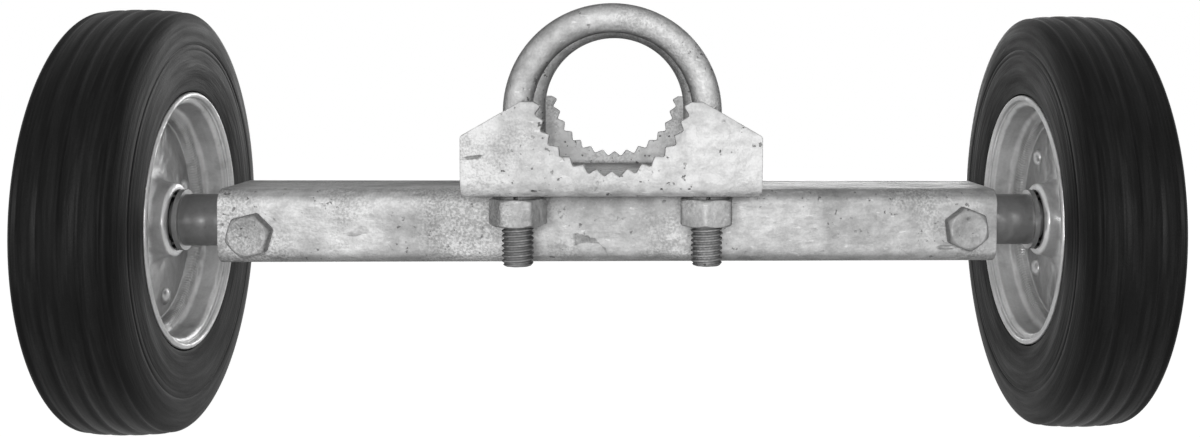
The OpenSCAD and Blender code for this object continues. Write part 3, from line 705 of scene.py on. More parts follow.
# %% Disc outline
SHEET_T = 1.5 * MM
HUB_S = 10.68 * MM
CUP_R = 14.78 * MM
CUP_MOUTH_R = 12.8 * MM
LEDGE_S = 4.35 * MM
LEDGE_IN_R = 43.95 * MM
WALL_R = 49.35 * MM
FLANGE_S = 15.18 * MM
LIP_R = 52.3 * MM
LIP_S = 17.1 * MM
LIP_BEAD_R = 1.2 * MM
WEB_S = SHEET_T / 2
DISC_STEPS = 216


def disc_outline():
    line = rounded([
        (HUB_S, CUP_MOUTH_R, 0), (HUB_S, CUP_R, 1.35 * MM), (WEB_S, CUP_R + 0.5 * MM, 7.0 * MM),
        (WEB_S, LEDGE_IN_R - 0.6 * MM, 1.5 * MM), (LEDGE_S - 0.2 * MM, LEDGE_IN_R + 0.5 * MM, 1.8 * MM),
        (LEDGE_S + 1.4 * MM, WALL_R - 0.1 * MM, 3.4 * MM),
        (FLANGE_S, WALL_R, 1.4 * MM), (FLANGE_S + 0.1 * MM, WALL_R + 2.1 * MM, 0.8 * MM),
        (LIP_S, LIP_R, 0)], steps=8, closed=False)
    inner = offset_path(line, -SHEET_T / 2)
    outer = offset_path(line, SHEET_T / 2)
    run = line[-1] - line[-2]
    heading = math.degrees(math.atan2(run.y, run.x))
    bead = arc(line[-1], LIP_BEAD_R, heading - 140, heading + 140, 16)
    return [(p.x, p.y) for p in inner[:-1] + bead + list(reversed(outer[:-1]))]


# %% Wheel discs
disc_points = disc_outline()
print("disc outline points:", len(disc_points))
for side, sign in SIDES.items():
    for half_name, way in (("inner", -1), ("outer", 1)):
        points = [(way * s, r) for s, r in disc_points]
        disc = turned(side + "_" + half_name + "_pressing", points, sign, "zinc_pressing", DISC_STEPS)
        dress(disc, "zinc_pressing", side + "_wheel", side + "_" + half_name + "_disc")

# %% [markdown]
# ## Sweeping a section along a path
# Rods, rings and pins are one round or square section carried along a path in space. Each section
# stands square to the path, and both ends are closed with a face, so the piece is a true solid. An
# open ring, such as a spring washer, is the same thing on a circle that stops short of closing.


# %% Sweep helpers
UPWARDS = Vector((0, 0, 1))


def sweep(name, path, section, up, grow_ends=()):
    """Carries a closed section of (sideways, upwards) points along a path in space."""
    points, faces = [], []
    count = len(section)
    for i, here in enumerate(path):
        along = (path[min(i + 1, len(path) - 1)] - path[max(i - 1, 0)]).normalized()
        side = along.cross(up(here) if callable(up) else up).normalized()
        over = side.cross(along)
        share = dict(grow_ends).get(min(i, len(path) - 1 - i), 1)
        points += [here + side * (x * share) + over * (y * share) for x, y in section]
    for i in range(len(path) - 1):
        for k in range(count):
            a, b = i * count + k, i * count + (k + 1) % count
            faces.append((a, b, b + count, a + count))
    faces += [tuple(range(count)), tuple(range(len(points) - count, len(points)))]
    return link_mesh(name, points, faces)


def circle_section(radius, steps):
    turns = [2 * math.pi * k / steps for k in range(steps)]
    return [(radius * math.cos(a), radius * math.sin(a)) for a in turns]


def joined(name, pieces):
    """One mesh from several closed pieces."""
    work = bmesh.new()
    for part in pieces:
        work.from_mesh(part.data)
        bpy.data.objects.remove(part)
    mesh = bpy.data.meshes.new(name)
    work.to_mesh(mesh)
    work.free()
    piece = bpy.data.objects.new(name, mesh)
    scene.collection.objects.link(piece)
    return piece


def settle(piece, turn_z, place, tilt=(0, 0, 0)):
    """Turns a piece and moves it to its place, all inside its mesh."""
    turn = Euler(tilt).to_matrix() @ Euler((0, 0, turn_z)).to_matrix()
    piece.data.transform(Matrix.Translation(Vector(place)) @ turn.to_4x4())
    return piece


# %% [markdown]
# ## The beam
# The beam is a rectangular tube with rounded corners and a wall of 4 mm. Its outer and inner outlines are
# carried from end to end together, with a small turn-in at each sawn end. A slow unevenness, always
# inwards, takes the machine-made look off the long flat faces, and the two axle bolt holes are cut
# through afterwards.

# %% Beam sizes
WALL = 4 * MM
CORNER_R = 6.5 * MM
BOLT_HOLE_R = 5.25 * MM
BOLT_HOLE_REACH = 40 * MM


def box_ring(half_w, half_h, radius, steps):
    return rounded([(-half_w, -half_h, radius), (half_w, -half_h, radius), (half_w, half_h, radius),
                    (-half_w, half_h, radius)], steps=steps)


def even_ring(ring, step):
    """The same closed outline with its long straight runs divided."""
    divided = []
    for k, here in enumerate(ring):
        after = ring[(k + 1) % len(ring)]
        parts = max(1, round((after - here).length / step))
        divided += [here.lerp(after, j / parts) for j in range(parts)]
    return divided


# %% Beam shell
def beam_mesh():
    half_h = axle_z - beam_lo_z
    outer = even_ring(box_ring(beam_half_d, half_h, CORNER_R, 8), 4 * MM)
    inner = even_ring(box_ring(beam_half_d - WALL, half_h - WALL, CORNER_R - WALL, 5), 8 * MM)
    edge = 0.5 * MM
    stations = [(-1, 0, edge), (-1, 0.3 * edge, 0.3 * edge), (-1, edge, 0), (-1, 1.4 * edge, 0)]
    steps = 96
    stations += [(0, (2 * k / steps - 1) * (beam_half_l - 2 * edge), 0) for k in range(steps + 1)]
    stations += [(1, back, inset) for _, back, inset in reversed(stations[:4])]
    points, faces = [], []
    for end, place, inset in stations:
        x = place if end == 0 else end * (beam_half_l - place)
        for loop, sign in ((outer, -1), (inner, 1)):
            for p in loop:
                out = Vector((p.x, p.y)).normalized() * (sign * inset)
                here = Vector((x, p.x, p.y))
                uneven = noise.noise(here * 22) + 0.5 * noise.noise(here * 60)
                dent = -0.12 * MM * (0.5 + 0.33 * uneven) if sign < 0 else 0
                flat = 1 + dent / beam_half_d
                points.append((x, (p.x + out.x) * flat, axle_z + (p.y + out.y) * flat))
    ring = len(outer) + len(inner)
    for i in range(len(stations) - 1):
        for start, count in ((0, len(outer)), (len(outer), len(inner))):
            for k in range(count):
                a, b = i * ring + start + k, i * ring + start + (k + 1) % count
                faces.append((a, b, b + ring, a + ring))
    return points, faces


def close_ends(piece):
    """Fills the ring between the outer and the inner outline at both ends."""
    work = bmesh.new()
    work.from_mesh(piece.data)
    open_edges = [e for e in work.edges if e.is_boundary]
    for sign in (-1, 1):
        rim = [e for e in open_edges if sign * e.verts[0].co.x > 0]
        bmesh.ops.triangle_fill(work, edges=rim, use_beauty=True)
    work.to_mesh(piece.data)
    work.free()


def cut_through(piece, cutters):
    """Cuts the cutters out of a piece and removes them."""
    for cutter in cutters:
        cut = piece.modifiers.new("cut", "BOOLEAN")
        cut.operation, cut.solver, cut.object = "DIFFERENCE", "EXACT", cutter
    graph = bpy.context.evaluated_depsgraph_get()
    mesh = bpy.data.meshes.new_from_object(piece.evaluated_get(graph), depsgraph=graph)
    piece.modifiers.clear()
    piece.data = mesh
    for cutter in cutters:
        bpy.data.objects.remove(cutter)


# %% Beam
def bolt_hole(side):
    bolt = middle(side + "_axle_bolt")
    path = [Vector((bolt.x, y, bolt.z)) for y in (-BOLT_HOLE_REACH, BOLT_HOLE_REACH)]
    return clean(sweep("hole", path, circle_section(BOLT_HOLE_R, 40), UPWARDS))


beam = link_mesh("beam_tube", *beam_mesh())
close_ends(beam)
clean(beam)
cut_through(beam, [bolt_hole(side) for side in SIDES])
clean(beam)
dress(beam, "galvanised_tube", "carrier", "beam")

# %% [markdown]
# ## The saddle
# The saddle is cut from 5 mm plate as one flat blank, teeth and all, and then bent up along two lines.
# Making it the same way keeps the cut edges square to the sheet after the bend. The blank's outline is
# filled with a fine triangle grid, its edges get a small rounding, and a formula folds every point.

# %% Saddle sizes
SADDLE_T = 5 * MM
BEND_MID_R = 4.5 * MM
WEB_Z = beam_top + SADDLE_T / 2
FLANGE_Y = span("saddle").y / 2 - SADDLE_T / 2
BEND_START = FLANGE_Y - BEND_MID_R
BEND_LENGTH = BEND_MID_R * math.pi / 2
SADDLE_HALF_W = span("saddle").x / 2
SIDE_Z = beam_top + 23.4 * MM
PEAK_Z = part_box("saddle")[1].z
PEAK_X = 34.5 * MM
VALLEY_R = 29.7 * MM
TIP_R = 27.1 * MM
NOTCH_Z = beam_top + 37.6 * MM
TEETH = 15
BLANK_STEP = 3.2 * MM
LEG_X = middle("front_left_clamp_nut").x
LEG_Y = middle("front_left_clamp_nut").y
LEG_HOLE_R = 7 * MM
print("saddle bends start", round(BEND_START, 5), "leg at", round(LEG_X, 4), round(LEG_Y, 4))


# %% Saddle blank
def flat_t(z):
    """How far along the flat blank a height on the flange lies."""
    return BEND_START + BEND_LENGTH + z - (WEB_Z + BEND_MID_R)


def blank_half(draw):
    """One side's edge of the blank, from the side of the flange round the teeth, with its roundings."""
    corners = [(-SADDLE_HALF_W, flat_t(SIDE_Z), 1.6 * MM), (-PEAK_X, flat_t(PEAK_Z), 1.0 * MM),
               (-VALLEY_R, flat_t(PEAK_Z), 0.7 * MM)]
    for i in range(2 * TEETH + 1):
        a = math.radians(180 + 180 * i / (2 * TEETH))
        tip = i % 2 == 1
        radius = (TIP_R if tip else VALLEY_R) + draw.uniform(-0.2, 0.2) * MM
        a += math.radians(draw.uniform(-0.5, 0.5))
        z = NOTCH_Z + radius * math.sin(a)
        if z < PEAK_Z - 0.6 * MM:
            corners.append((radius * math.cos(a), flat_t(z), (0.85 if tip else 0.75) * MM))
    corners += [(VALLEY_R, flat_t(PEAK_Z), 0.7 * MM), (PEAK_X, flat_t(PEAK_Z), 1.0 * MM),
                (SADDLE_HALF_W, flat_t(SIDE_Z), 1.6 * MM)]
    return corners


def blank_outline():
    draw = random.Random(7)
    rear = blank_half(draw)
    front = [(-x, -t, r) for x, t, r in blank_half(draw)]
    return rounded(rear + front, steps=4)


def shrunk(ring, inset):
    """A closed outline moved inwards, with short edges kept in order."""
    moved = []
    for k, here in enumerate(ring):
        before, after = here - ring[k - 1], ring[(k + 1) % len(ring)] - here
        sides = [Vector((v.y, -v.x)).normalized() for v in (before, after) if v.length > 0]
        side = sum(sides, Vector((0, 0))).normalized()
        moved.append(here + side * (inset / max(0.6, side.dot(sides[0]))))
    return moved


def inside(point, ring):
    hit = False
    for k, a in enumerate(ring):
        b = ring[k - 1]
        if (a.y > point.y) != (b.y > point.y):
            if point.x < (b.x - a.x) * (point.y - a.y) / (b.y - a.y) + a.x:
                hit = not hit
    return hit


def on_sheet(point, loops):
    """Whether a point lies inside the edge, which is the first loop, and outside the holes."""
    return inside(point, loops[0]) and not any(inside(point, hole) for hole in loops[1:])


def folded(x, t, n):
    """Where a point of the flat blank goes when the flanges are bent up; n is its height in the sheet."""
    side, reach = math.copysign(1, t), abs(t)
    if reach < BEND_START:
        return x, t, WEB_Z - n
    turn = min((reach - BEND_START) / BEND_MID_R, math.pi / 2)
    y = BEND_START + (BEND_MID_R + n) * math.sin(turn)
    z = WEB_Z + BEND_MID_R - (BEND_MID_R + n) * math.cos(turn)
    return x, side * y, z + max(0, reach - BEND_START - BEND_LENGTH)


print("blank outline points:", len(blank_outline()))


# %% Saddle
def sheet_fill(loops, step):
    """Triangles over a sheet with holes: the first loop is its edge and the rest are its holes."""
    points, lines = [], []
    for loop in loops:
        start = len(points)
        points += loop
        lines += [(start + k, start + (k + 1) % len(loop)) for k in range(len(loop))]
    half_t = max(p.y for p in loops[0])
    rows = [BEND_START + BEND_LENGTH * k / 8 for k in range(9)]
    rows = [-t for t in reversed(rows)] + [k * step for k in range(-17, 18)] + rows
    rows += [s * (rows[-1] + k * step) for s in (-1, 1) for k in range(1, int(half_t / step))]
    across = int(SADDLE_HALF_W / step)
    for t in rows:
        for k in range(-across, across + 1):
            spot = Vector((k * step + 0.13 * MM * math.sin(t * 900), t))
            near = min((spot - p).length_squared for loop in loops for p in loop)
            if near > (0.28 * step) ** 2 and on_sheet(spot, loops):
                points.append(spot)
    out, _, triangles, _, _, _ = geometry.delaunay_2d_cdt(points, lines, [], 0, 1e-7)
    kept = []
    for face in triangles:
        if on_sheet(sum((out[k] for k in face), Vector((0, 0))) / 3, loops):
            kept.append(tuple(face))
    return out, kept


def saddle_mesh():
    edge = 0.45 * MM
    rings = [(SADDLE_T / 2, edge), (SADDLE_T / 2 - 0.12 * edge, 0.5 * edge),
             (SADDLE_T / 2 - 0.5 * edge, 0.12 * edge), (SADDLE_T / 2 - edge, 0)]
    rings += [(-height, inset) for height, inset in reversed(rings)]
    outline = even_ring(blank_outline(), 2.5 * MM)
    holes = [[Vector((x * LEG_X, y * LEG_Y)) + Vector(p) for p in circle_section(LEG_HOLE_R, 48)]
             for x in (-1, 1) for y in (-1, 1)]
    loops = [outline] + holes
    points, faces = [], []

    def place(p, n):
        points.append(folded(p.x, p.y, n))
        return len(points) - 1

    for loop in loops:
        rows = [[place(p, n) for p in shrunk(loop, inset)] for n, inset in rings]
        for a, b in zip(rows, rows[1:]):
            faces += [(a[k], a[k - 1], b[k - 1], b[k]) for k in range(len(loop))]
    flat = [shrunk(loop, edge) for loop in loops]
    out, triangles = sheet_fill(flat, BLANK_STEP)
    for n in (SADDLE_T / 2, -SADDLE_T / 2):
        numbers = [place(p, n) for p in out]
        faces += [tuple(numbers[k] for k in face) for face in triangles]
    return points, faces


saddle = link_mesh("saddle_plate", *saddle_mesh())
clean(saddle, sharp=40)
dress(saddle, "galvanised_plate", "carrier", "saddle")

# %% [markdown]
# ## Screw threads
# A thread is a surface of one rule: its height over the core depends only on where a point lies between
# two crests, and the whole pattern climbs one pitch per turn. The tree below bends a flat grid into that
# shape. Its long side runs up the bolt and its short side runs round it, sheared by one pitch so that the
# rows follow the helix exactly and meet again after a turn. Both ends run in to the centre, which
# closes them, and every point of the base mesh gets one such thread.


# %% Thread tree
THREAD_ROWS_PER_PITCH = 8


def thread_tree():
    tree, given = new_tree(
        "thread", "Feet", ("Length", "Pitch", "Crest radius", "Root radius", "Chamfer", "Wear"),
        ("Steps round",), ("Lean",))
    whole = calc(tree, "CEIL", calc(tree, "DIVIDE", given["Length"], given["Pitch"]))
    pitches = calc(tree, "ADD", whole, 3)
    rows = calc(tree, "MULTIPLY", pitches, THREAD_ROWS_PER_PITCH)
    mesh, share, along = unit_grid(tree, calc(tree, "ADD", given["Steps round"], 1),
                                   calc(tree, "ADD", rows, 1))
    row = calc(tree, "ROUND", calc(tree, "MULTIPLY", along, rows))
    up = calc(tree, "DIVIDE", row, THREAD_ROWS_PER_PITCH)
    climb = calc(tree, "SUBTRACT", calc(tree, "ADD", up, share), 2)
    height = calc(tree, "MULTIPLY", climb, given["Pitch"])
    low = calc(tree, "MAXIMUM", height, 0)
    clamped = calc(tree, "MINIMUM", low, given["Length"])
    phase = calc(tree, "FRACT", up)
    wave = calc(tree, "ABSOLUTE", calc(tree, "SUBTRACT", phase, 0.5))
    tooth = ranged(tree, wave, 0.1, 0.42, 1, 0)
    body = ranged(tree, tooth, 0, 1, given["Root radius"], given["Crest radius"])
    to_end = calc(tree, "MINIMUM", clamped, calc(tree, "SUBTRACT", given["Length"], clamped))
    limit = calc(tree, "ADD", calc(tree, "SUBTRACT", given["Crest radius"], given["Chamfer"]), to_end)
    body = calc(tree, "MINIMUM", body, limit)
    angle = calc(tree, "MULTIPLY", share, 2 * math.pi)
    side, back = calc(tree, "COSINE", angle), calc(tree, "SINE", angle)
    wear_place = add(tree, "ShaderNodeCombineXYZ", {
        "X": back, "Y": side, "Z": calc(tree, "MULTIPLY", clamped, 400)}).outputs[0]
    worn = add(tree, "ShaderNodeTexNoise", {"Vector": wear_place, "Scale": 1.5, "Detail": 2.0})
    body = calc(tree, "SUBTRACT", body, product(tree, worn.outputs["Fac"], given["Wear"], tooth))
    start = add(tree, "ShaderNodeClamp", {0: calc(tree, "ADD", climb, 1)}).outputs[0]
    past = calc(tree, "DIVIDE", calc(tree, "SUBTRACT", height, given["Length"]), given["Pitch"])
    finish_share = add(tree, "ShaderNodeClamp", {0: calc(tree, "SUBTRACT", 1, past)}).outputs[0]
    radius = product(tree, body, start, finish_share)
    shape = bent_grid(tree, mesh, {
        "X": calc(tree, "MULTIPLY", radius, side),
        "Y": calc(tree, "MULTIPLY", radius, back), "Z": clamped}, 2e-6)
    placed = add(tree, "GeometryNodeInstanceOnPoints", {
        "Points": given["Feet"], "Instance": shape, "Rotation": given["Lean"]})
    end_tree(tree, placed.outputs[0], given["Finish"])
    return tree


thread_maker = thread_tree()


def threads(name, feet, length, pitch, crest_r, root_r, chamfer, finish, lean=(0, 0, 0), steps=48,
            wear=0.25):
    base = bpy.data.meshes.new(name + "_feet")
    base.from_pydata([tuple(foot) for foot in feet], [], [])
    return grow(name, thread_maker, base, {
        "Length": length, "Pitch": pitch, "Crest radius": crest_r, "Root radius": root_r,
        "Chamfer": chamfer, "Wear": wear * MM, "Steps round": steps, "Lean": lean,
        "Finish": FINISHES[finish]})


print("thread nodes:", len(thread_maker.nodes))

# %% [markdown]
# ## U-bolts
# Each U-bolt is a rod bent over in a half circle, with a coarse thread on both legs. The zinc bath
# fills the threads a little, so the crests are worn and uneven. A geometry tree turns the path into a
# round rod, and the thread tree puts one thread on each leg.

# %% Rod tree
ROD_R = 5.78 * MM
THREAD_R = 6.35 * MM
THREAD_ROOT_R = 5.25 * MM
THREAD_TOP_Z = beam_top + 8 * MM
THREAD_PITCH = 1.954 * MM
ARCH_Z = beam_top + 31.7 * MM
LEG_END_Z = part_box("front_u_bolt")[0].z
ROD_STEPS = 56


def rod_tree():
    tree, given = new_tree("bent_rod", "Path", ("Radius",), ("Steps round",))
    path = add(tree, "GeometryNodeMeshToCurve", {"Mesh": given["Path"]})
    ring = add(tree, "GeometryNodeCurvePrimitiveCircle",
               {"Resolution": given["Steps round"], "Radius": given["Radius"]})
    rod = add(tree, "GeometryNodeCurveToMesh", {
        "Curve": path.outputs[0], "Profile Curve": ring.outputs[0], "Fill Caps": True})
    end_tree(tree, rod.outputs[0], given["Finish"])
    return tree


bent_rod = rod_tree()
print("rod nodes:", len(bent_rod.nodes))


# %% U-bolts
def u_bolt(end_name, sign):
    y = sign * abs(LEG_Y)
    reach = abs(LEG_X)
    straight = [THREAD_TOP_Z + (ARCH_Z - THREAD_TOP_Z) * k / 10 for k in range(10)]
    path = [Vector((-reach, y, z)) for z in straight]
    path += [Vector((p.x, y, ARCH_Z + p.y)) for p in arc((0, 0), reach, 180, 0, 72)]
    path += [Vector((reach, y, z)) for z in reversed(straight)]
    base = bpy.data.meshes.new(end_name + "_path")
    base.from_pydata([tuple(p) for p in path], [(k, k + 1) for k in range(len(path) - 1)], [])
    rod = grow(end_name + "_rod", bent_rod, base, {
        "Radius": ROD_R, "Steps round": ROD_STEPS, "Finish": FINISHES["galvanised_rod"]})
    feet = [(x * reach, y, LEG_END_Z) for x in (-1, 1)]
    thread = threads(end_name + "_threads", feet, THREAD_TOP_Z - LEG_END_Z, THREAD_PITCH,
                     THREAD_R, THREAD_ROOT_R, 1.1 * MM, "galvanised_rod", steps=ROD_STEPS)
    piece = clean(joined(end_name + "_u_bolt_rod", [rod, thread]), sharp=50)
    dress(piece, "galvanised_rod", end_name + "_clamp", end_name + "_u_bolt")


for end_name, sign in ENDS.items():
    u_bolt(end_name, sign)

# %% [markdown]
# ## Hexagons
# Nuts and bolt heads are six-sided bars whose corners were turned down by a cone, which leaves a round
# face and curved edges on the flats. The mesh is a polar grid: at each angle the side's distance is that
# of a hexagon, and the cone decides how high the side may reach there.


# %% Hexagon helper
def hexagon(name, af, height, bore_r=0.0, both=True, dish=0.0, turns=120, chamfer=30, face_share=0.95):
    """A hexagonal bar along Z from 0 to its height, with a flat facing -Y."""
    apothem, slope, soft = af / 2, math.tan(math.radians(chamfer)), 0.22 * MM
    face_r = face_share * apothem
    points, faces = [], []

    def side_r(a):
        away = abs((a + math.pi / 2 + math.pi / 6) % (math.pi / 3) - math.pi / 6)
        return min(apothem / math.cos(away), apothem / math.cos(math.pi / 6) - 0.25 * MM)

    def end_rings(sign, z0, dished):
        if bore_r:
            inner = [(bore_r, -0.6 * MM), (bore_r + 0.05 * MM, -0.5 * MM),
                     (bore_r + 0.5 * MM, -0.06 * MM), (bore_r + 0.7 * MM, 0)]
        else:
            inner = [(0.3 * face_r, -dished), (0.6 * face_r, -0.8 * dished),
                     (0.82 * face_r, -0.15 * dished)]
        inner += [(face_r - 0.25 * MM, 0), (face_r, -0.03 * MM)]
        rings = [[(r, z0 + sign * z)] * turns for r, z in inner]
        for inset, down in ((soft, 0), (0.3 * soft, 0.3 * soft), (0, soft)):
            rings.append([(r - inset, z0 - sign * ((r - inset - face_r) * slope + down)) for r in sides])
        return rings

    sides = [side_r(2 * math.pi * k / turns) for k in range(turns)]
    top = end_rings(1, height, dish)
    if both:
        bottom = end_rings(-1, 0, 0)
    else:
        bottom = [[(0.5 * apothem, 0)] * turns, [(r - 0.2 * MM, 0) for r in sides],
                  [(r, 0.2 * MM) for r in sides]]
    rings = top + list(reversed(bottom))
    for ring in rings:
        for k, (r, z) in enumerate(ring):
            a = 2 * math.pi * k / turns
            points.append((r * math.cos(a), r * math.sin(a), z))
    for i in range(len(rings) - 1):
        for k in range(turns):
            a, b = i * turns + k, i * turns + (k + 1) % turns
            faces.append((a, b, b + turns, a + turns))
    last = (len(rings) - 1) * turns
    if bore_r:
        faces += [(last + k, last + (k + 1) % turns, (k + 1) % turns, k) for k in range(turns)]
    else:
        faces += [tuple(range(turns)), tuple(range(last, last + turns))]
    return link_mesh(name, points, faces)


# %% Clamp nuts
NUT_AF = 20 * MM
NUT_H = span("front_left_clamp_nut").z
RIGHT_NUT_TURN = math.radians(24)
for end_name, end in ENDS.items():
    for side, sign in SIDES.items():
        node = f"{end_name}_{side}_clamp_nut"
        nut = hexagon(f"{end_name}_{side}_nut", NUT_AF, NUT_H, bore_r=THREAD_R + 0.05 * MM)
        base = middle(node)
        settle(nut, RIGHT_NUT_TURN if sign > 0 else 0, (base.x, base.y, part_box(node)[0].z))
        clean(nut, sharp=38)
        dress(nut, "galvanised_fastener", f"{end_name}_{side}_nut", node)

# %% [markdown]
# ## Axle bolts
# A bolt through the tube holds each stub axle. Its head shows at the front. At the rear there are a
# washer, a nut and a few turns of thread. Bolt, head and thread are one piece on the real object, and the
# head gets the shallow dish that forging leaves.

# %% Axle bolts
HEAD_AF = 16 * MM
HEAD_H = 6.4 * MM
BOLT_R = 5 * MM
BOLT_END_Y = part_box("left_axle_bolt")[1].y
HEAD_TURNS = {"left": math.radians(14), "right": math.radians(38)}
FACE_FRONT = (math.radians(90), 0, 0)
FACE_REAR = (math.radians(-90), 0, 0)
REAR_NUT_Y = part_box("axle_bolt_nuts")[0].y
THREADED = 14 * MM
HIDDEN_L = 1 * MM
REAR_NUT_H = 8 * MM
REAR_NUT_TURNS = {"left": math.radians(9), "right": math.radians(40)}
FINE_PITCH = 1.5 * MM
rear_nuts = []
for side in SIDES:
    bolt_middle = middle(side + "_axle_bolt")
    x, z = bolt_middle.x, bolt_middle.z
    head = hexagon(side + "_head", HEAD_AF, HEAD_H, both=False, dish=0.5 * MM, chamfer=42, face_share=0.92)
    settle(head, HEAD_TURNS[side], (x, -beam_half_d, z), FACE_FRONT)
    shank_end = BOLT_END_Y - THREADED
    path = [Vector((x, -beam_half_d - HIDDEN_L + (shank_end + beam_half_d) * k / 8, z)) for k in range(9)]
    shank = sweep(side + "_shank", path, circle_section(BOLT_R * 0.98, 48), UPWARDS)
    thread = threads(side + "_bolt_thread", [(x, shank_end - HIDDEN_L, z)], THREADED + HIDDEN_L, FINE_PITCH,
                     BOLT_R, BOLT_R - 0.85 * MM, 0.8 * MM, "zinc_fastener", FACE_REAR, 40, 0.05)
    bolt = clean(joined(side + "_axle_bolt_steel", [head, shank, thread]), sharp=38)
    dress(bolt, "zinc_fastener", "carrier", side + "_axle_bolt")
    nut = hexagon(side + "_rear_nut", HEAD_AF, REAR_NUT_H, bore_r=BOLT_R + 0.05 * MM)
    rear_nuts.append(settle(nut, REAR_NUT_TURNS[side], (x, REAR_NUT_Y, z), FACE_REAR))
nuts = clean(joined("rear_axle_nuts", rear_nuts), sharp=38)
dress(nuts, "zinc_fastener", "carrier", "axle_bolt_nuts")

# %% [markdown]
# ## Lock washers
# A spring lock washer is a square wire bent into a ring that doesn't quite close, so it is swept
# round its circle and stopped short of the slit. One sits on top of each clamp nut.

# %% Lock washers
WASHER_T = span("lock_washers").z
WASHER_OUT_R = 10 * MM
WASHER_IN_R = THREAD_R + 0.33 * MM
WASHER_SLIT = 1.3 * MM


def lock_washer(name, x, y):
    half_w, half_t, soft = (WASHER_OUT_R - WASHER_IN_R) / 2, WASHER_T / 2, 0.25 * MM
    wire = box_ring(half_w, half_t, soft, 3)
    wire_r = WASHER_OUT_R - half_w
    open_a = WASHER_SLIT / wire_r / 2
    turns = [-math.pi / 2 + open_a + (2 * math.pi - 2 * open_a) * k / 90 for k in range(91)]
    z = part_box("lock_washers")[0].z + half_t
    path = [Vector((x + wire_r * math.cos(a), y + wire_r * math.sin(a), z)) for a in turns]
    return clean(sweep(name, path, wire, UPWARDS), sharp=38)


washers = [lock_washer(f"washer_{i}_{j}", i * abs(LEG_X), j * abs(LEG_Y)) for i in (-1, 1) for j in (-1, 1)]
lock_washers = clean(joined("spring_lock_washers", washers), sharp=38)
dress(lock_washers, "galvanised_fastener", "carrier", "lock_washers")

# %% [markdown]
# ## Split pins
# A split pin is one half-round wire. It runs up the hole, round an eye and back down the hole with its
# flat side against itself, and its two ends are bent apart below. The path starts as a few corners,
# which are then cut again and again until they are smooth curves.


# %% Split pins
PIN_R = 1.5 * MM
EYE_IN_R = 1.9 * MM
PIN_TIP = (4.3 * MM, -9.2 * MM)
PIN_BEND_Z = -7.4 * MM


def smoothed(points, times):
    """Cuts every corner of an open path a number of times, so that it turns into a curve."""
    for _ in range(times):
        cut = [points[0]]
        for a, b in zip(points, points[1:]):
            cut += [a.lerp(b, 0.25), a.lerp(b, 0.75)]
        points = cut + [points[-1]]
    return points


def split_pin(name, node):
    lo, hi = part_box(node)
    x = (lo.x + hi.x) / 2
    eye_z = hi.z - axle_z - EYE_IN_R - PIN_R - 0.3 * MM
    gap = 0.06 * MM
    half = [Vector(PIN_TIP), Vector((gap, PIN_BEND_Z)), Vector((gap, 0)),
            Vector((gap, eye_z - EYE_IN_R - 0.7 * MM))]
    eye = arc((0, eye_z), EYE_IN_R, -70, 250, 16)
    back = [Vector((-p.x, p.y)) for p in reversed(half)]
    flat = smoothed(half + eye + back, 3)
    path = [Vector((x, p.x, axle_z + p.y)) for p in flat]
    half_round = [tuple(p) for p in arc((0, 0), PIN_R, -74, 74, 12)]
    section = [(0, -PIN_R * 0.96)] + half_round + [(0, PIN_R * 0.96)]
    pin = clean(sweep(name, path, section, Vector((1, 0, 0))), sharp=38)
    dress(pin, "plain_washer_steel", "carrier", node)


for side in SIDES:
    split_pin(side + "_pin_wire", side + "_split_pin")

# %% [markdown]
# ## Saddle welds
# A weld bead runs across the tube at each end of the saddle. It was laid down drop by drop, so it
# carries overlapping curved scales, and it is a little wider in some places than in others.

# %% Saddle welds
WELD_R = 4 * MM
WELD_SCALE_L = 2.1 * MM
WELD_STEPS = 180
WELD_TURNS = 14


def weld_bead(name, sign):
    lo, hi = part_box("saddle_welds")
    y0, y1 = lo.y, hi.y
    corner_x = hi.x - WELD_R
    dice = random.Random(31 + sign)
    swells = [dice.uniform(0.9, 1.0) for _ in range(12)]
    points, faces = [], []
    for i in range(WELD_STEPS + 1):
        share = i / WELD_STEPS
        y = y0 + (y1 - y0) * share
        spot = share * (len(swells) - 1)
        k = min(int(spot), len(swells) - 2)
        swell = swells[k] + (swells[k + 1] - swells[k]) * (spot - k)
        to_end = min(y - y0, y1 - y) / (2.5 * MM)
        ends = math.sqrt(max(0.12, 1 - max(0, 1 - to_end) ** 2))
        points.append((sign * corner_x, y, beam_top))
        for j in range(WELD_TURNS + 1):
            a = math.pi / 2 * j / WELD_TURNS
            phase = (y + 0.9 * MM * math.cos(2 * a - math.pi / 2)) / WELD_SCALE_L % 1
            scale = 1 - 0.075 * phase ** 3 - 0.03 * (1 - phase) ** 4
            r = WELD_R * swell * ends * scale * (0.94 + 0.06 * math.cos(4 * a))
            points.append((sign * (corner_x + r * math.cos(a)), y, beam_top + r * math.sin(a)))
    row = WELD_TURNS + 2
    for i in range(WELD_STEPS):
        for j in range(row):
            a, b = i * row + j, i * row + (j + 1) % row
            faces.append((a, b, b + row, a + row))
    faces += [tuple(range(row)), tuple(range(len(points) - row, len(points)))]
    return clean(link_mesh(name, points, faces), sharp=60)


welds = [weld_bead(side + "_weld", sign) for side, sign in SIDES.items()]
dress(clean(joined("weld_beads", welds), sharp=60), "galvanised_weld", "carrier", "saddle_welds")

# %% [markdown]
# ## Rivets
# Four rivets hold the two halves of each wheel together. One rivet's outline is turned on a grid, as the
# lathe does, and the tree repeats it on a circle round the axle.


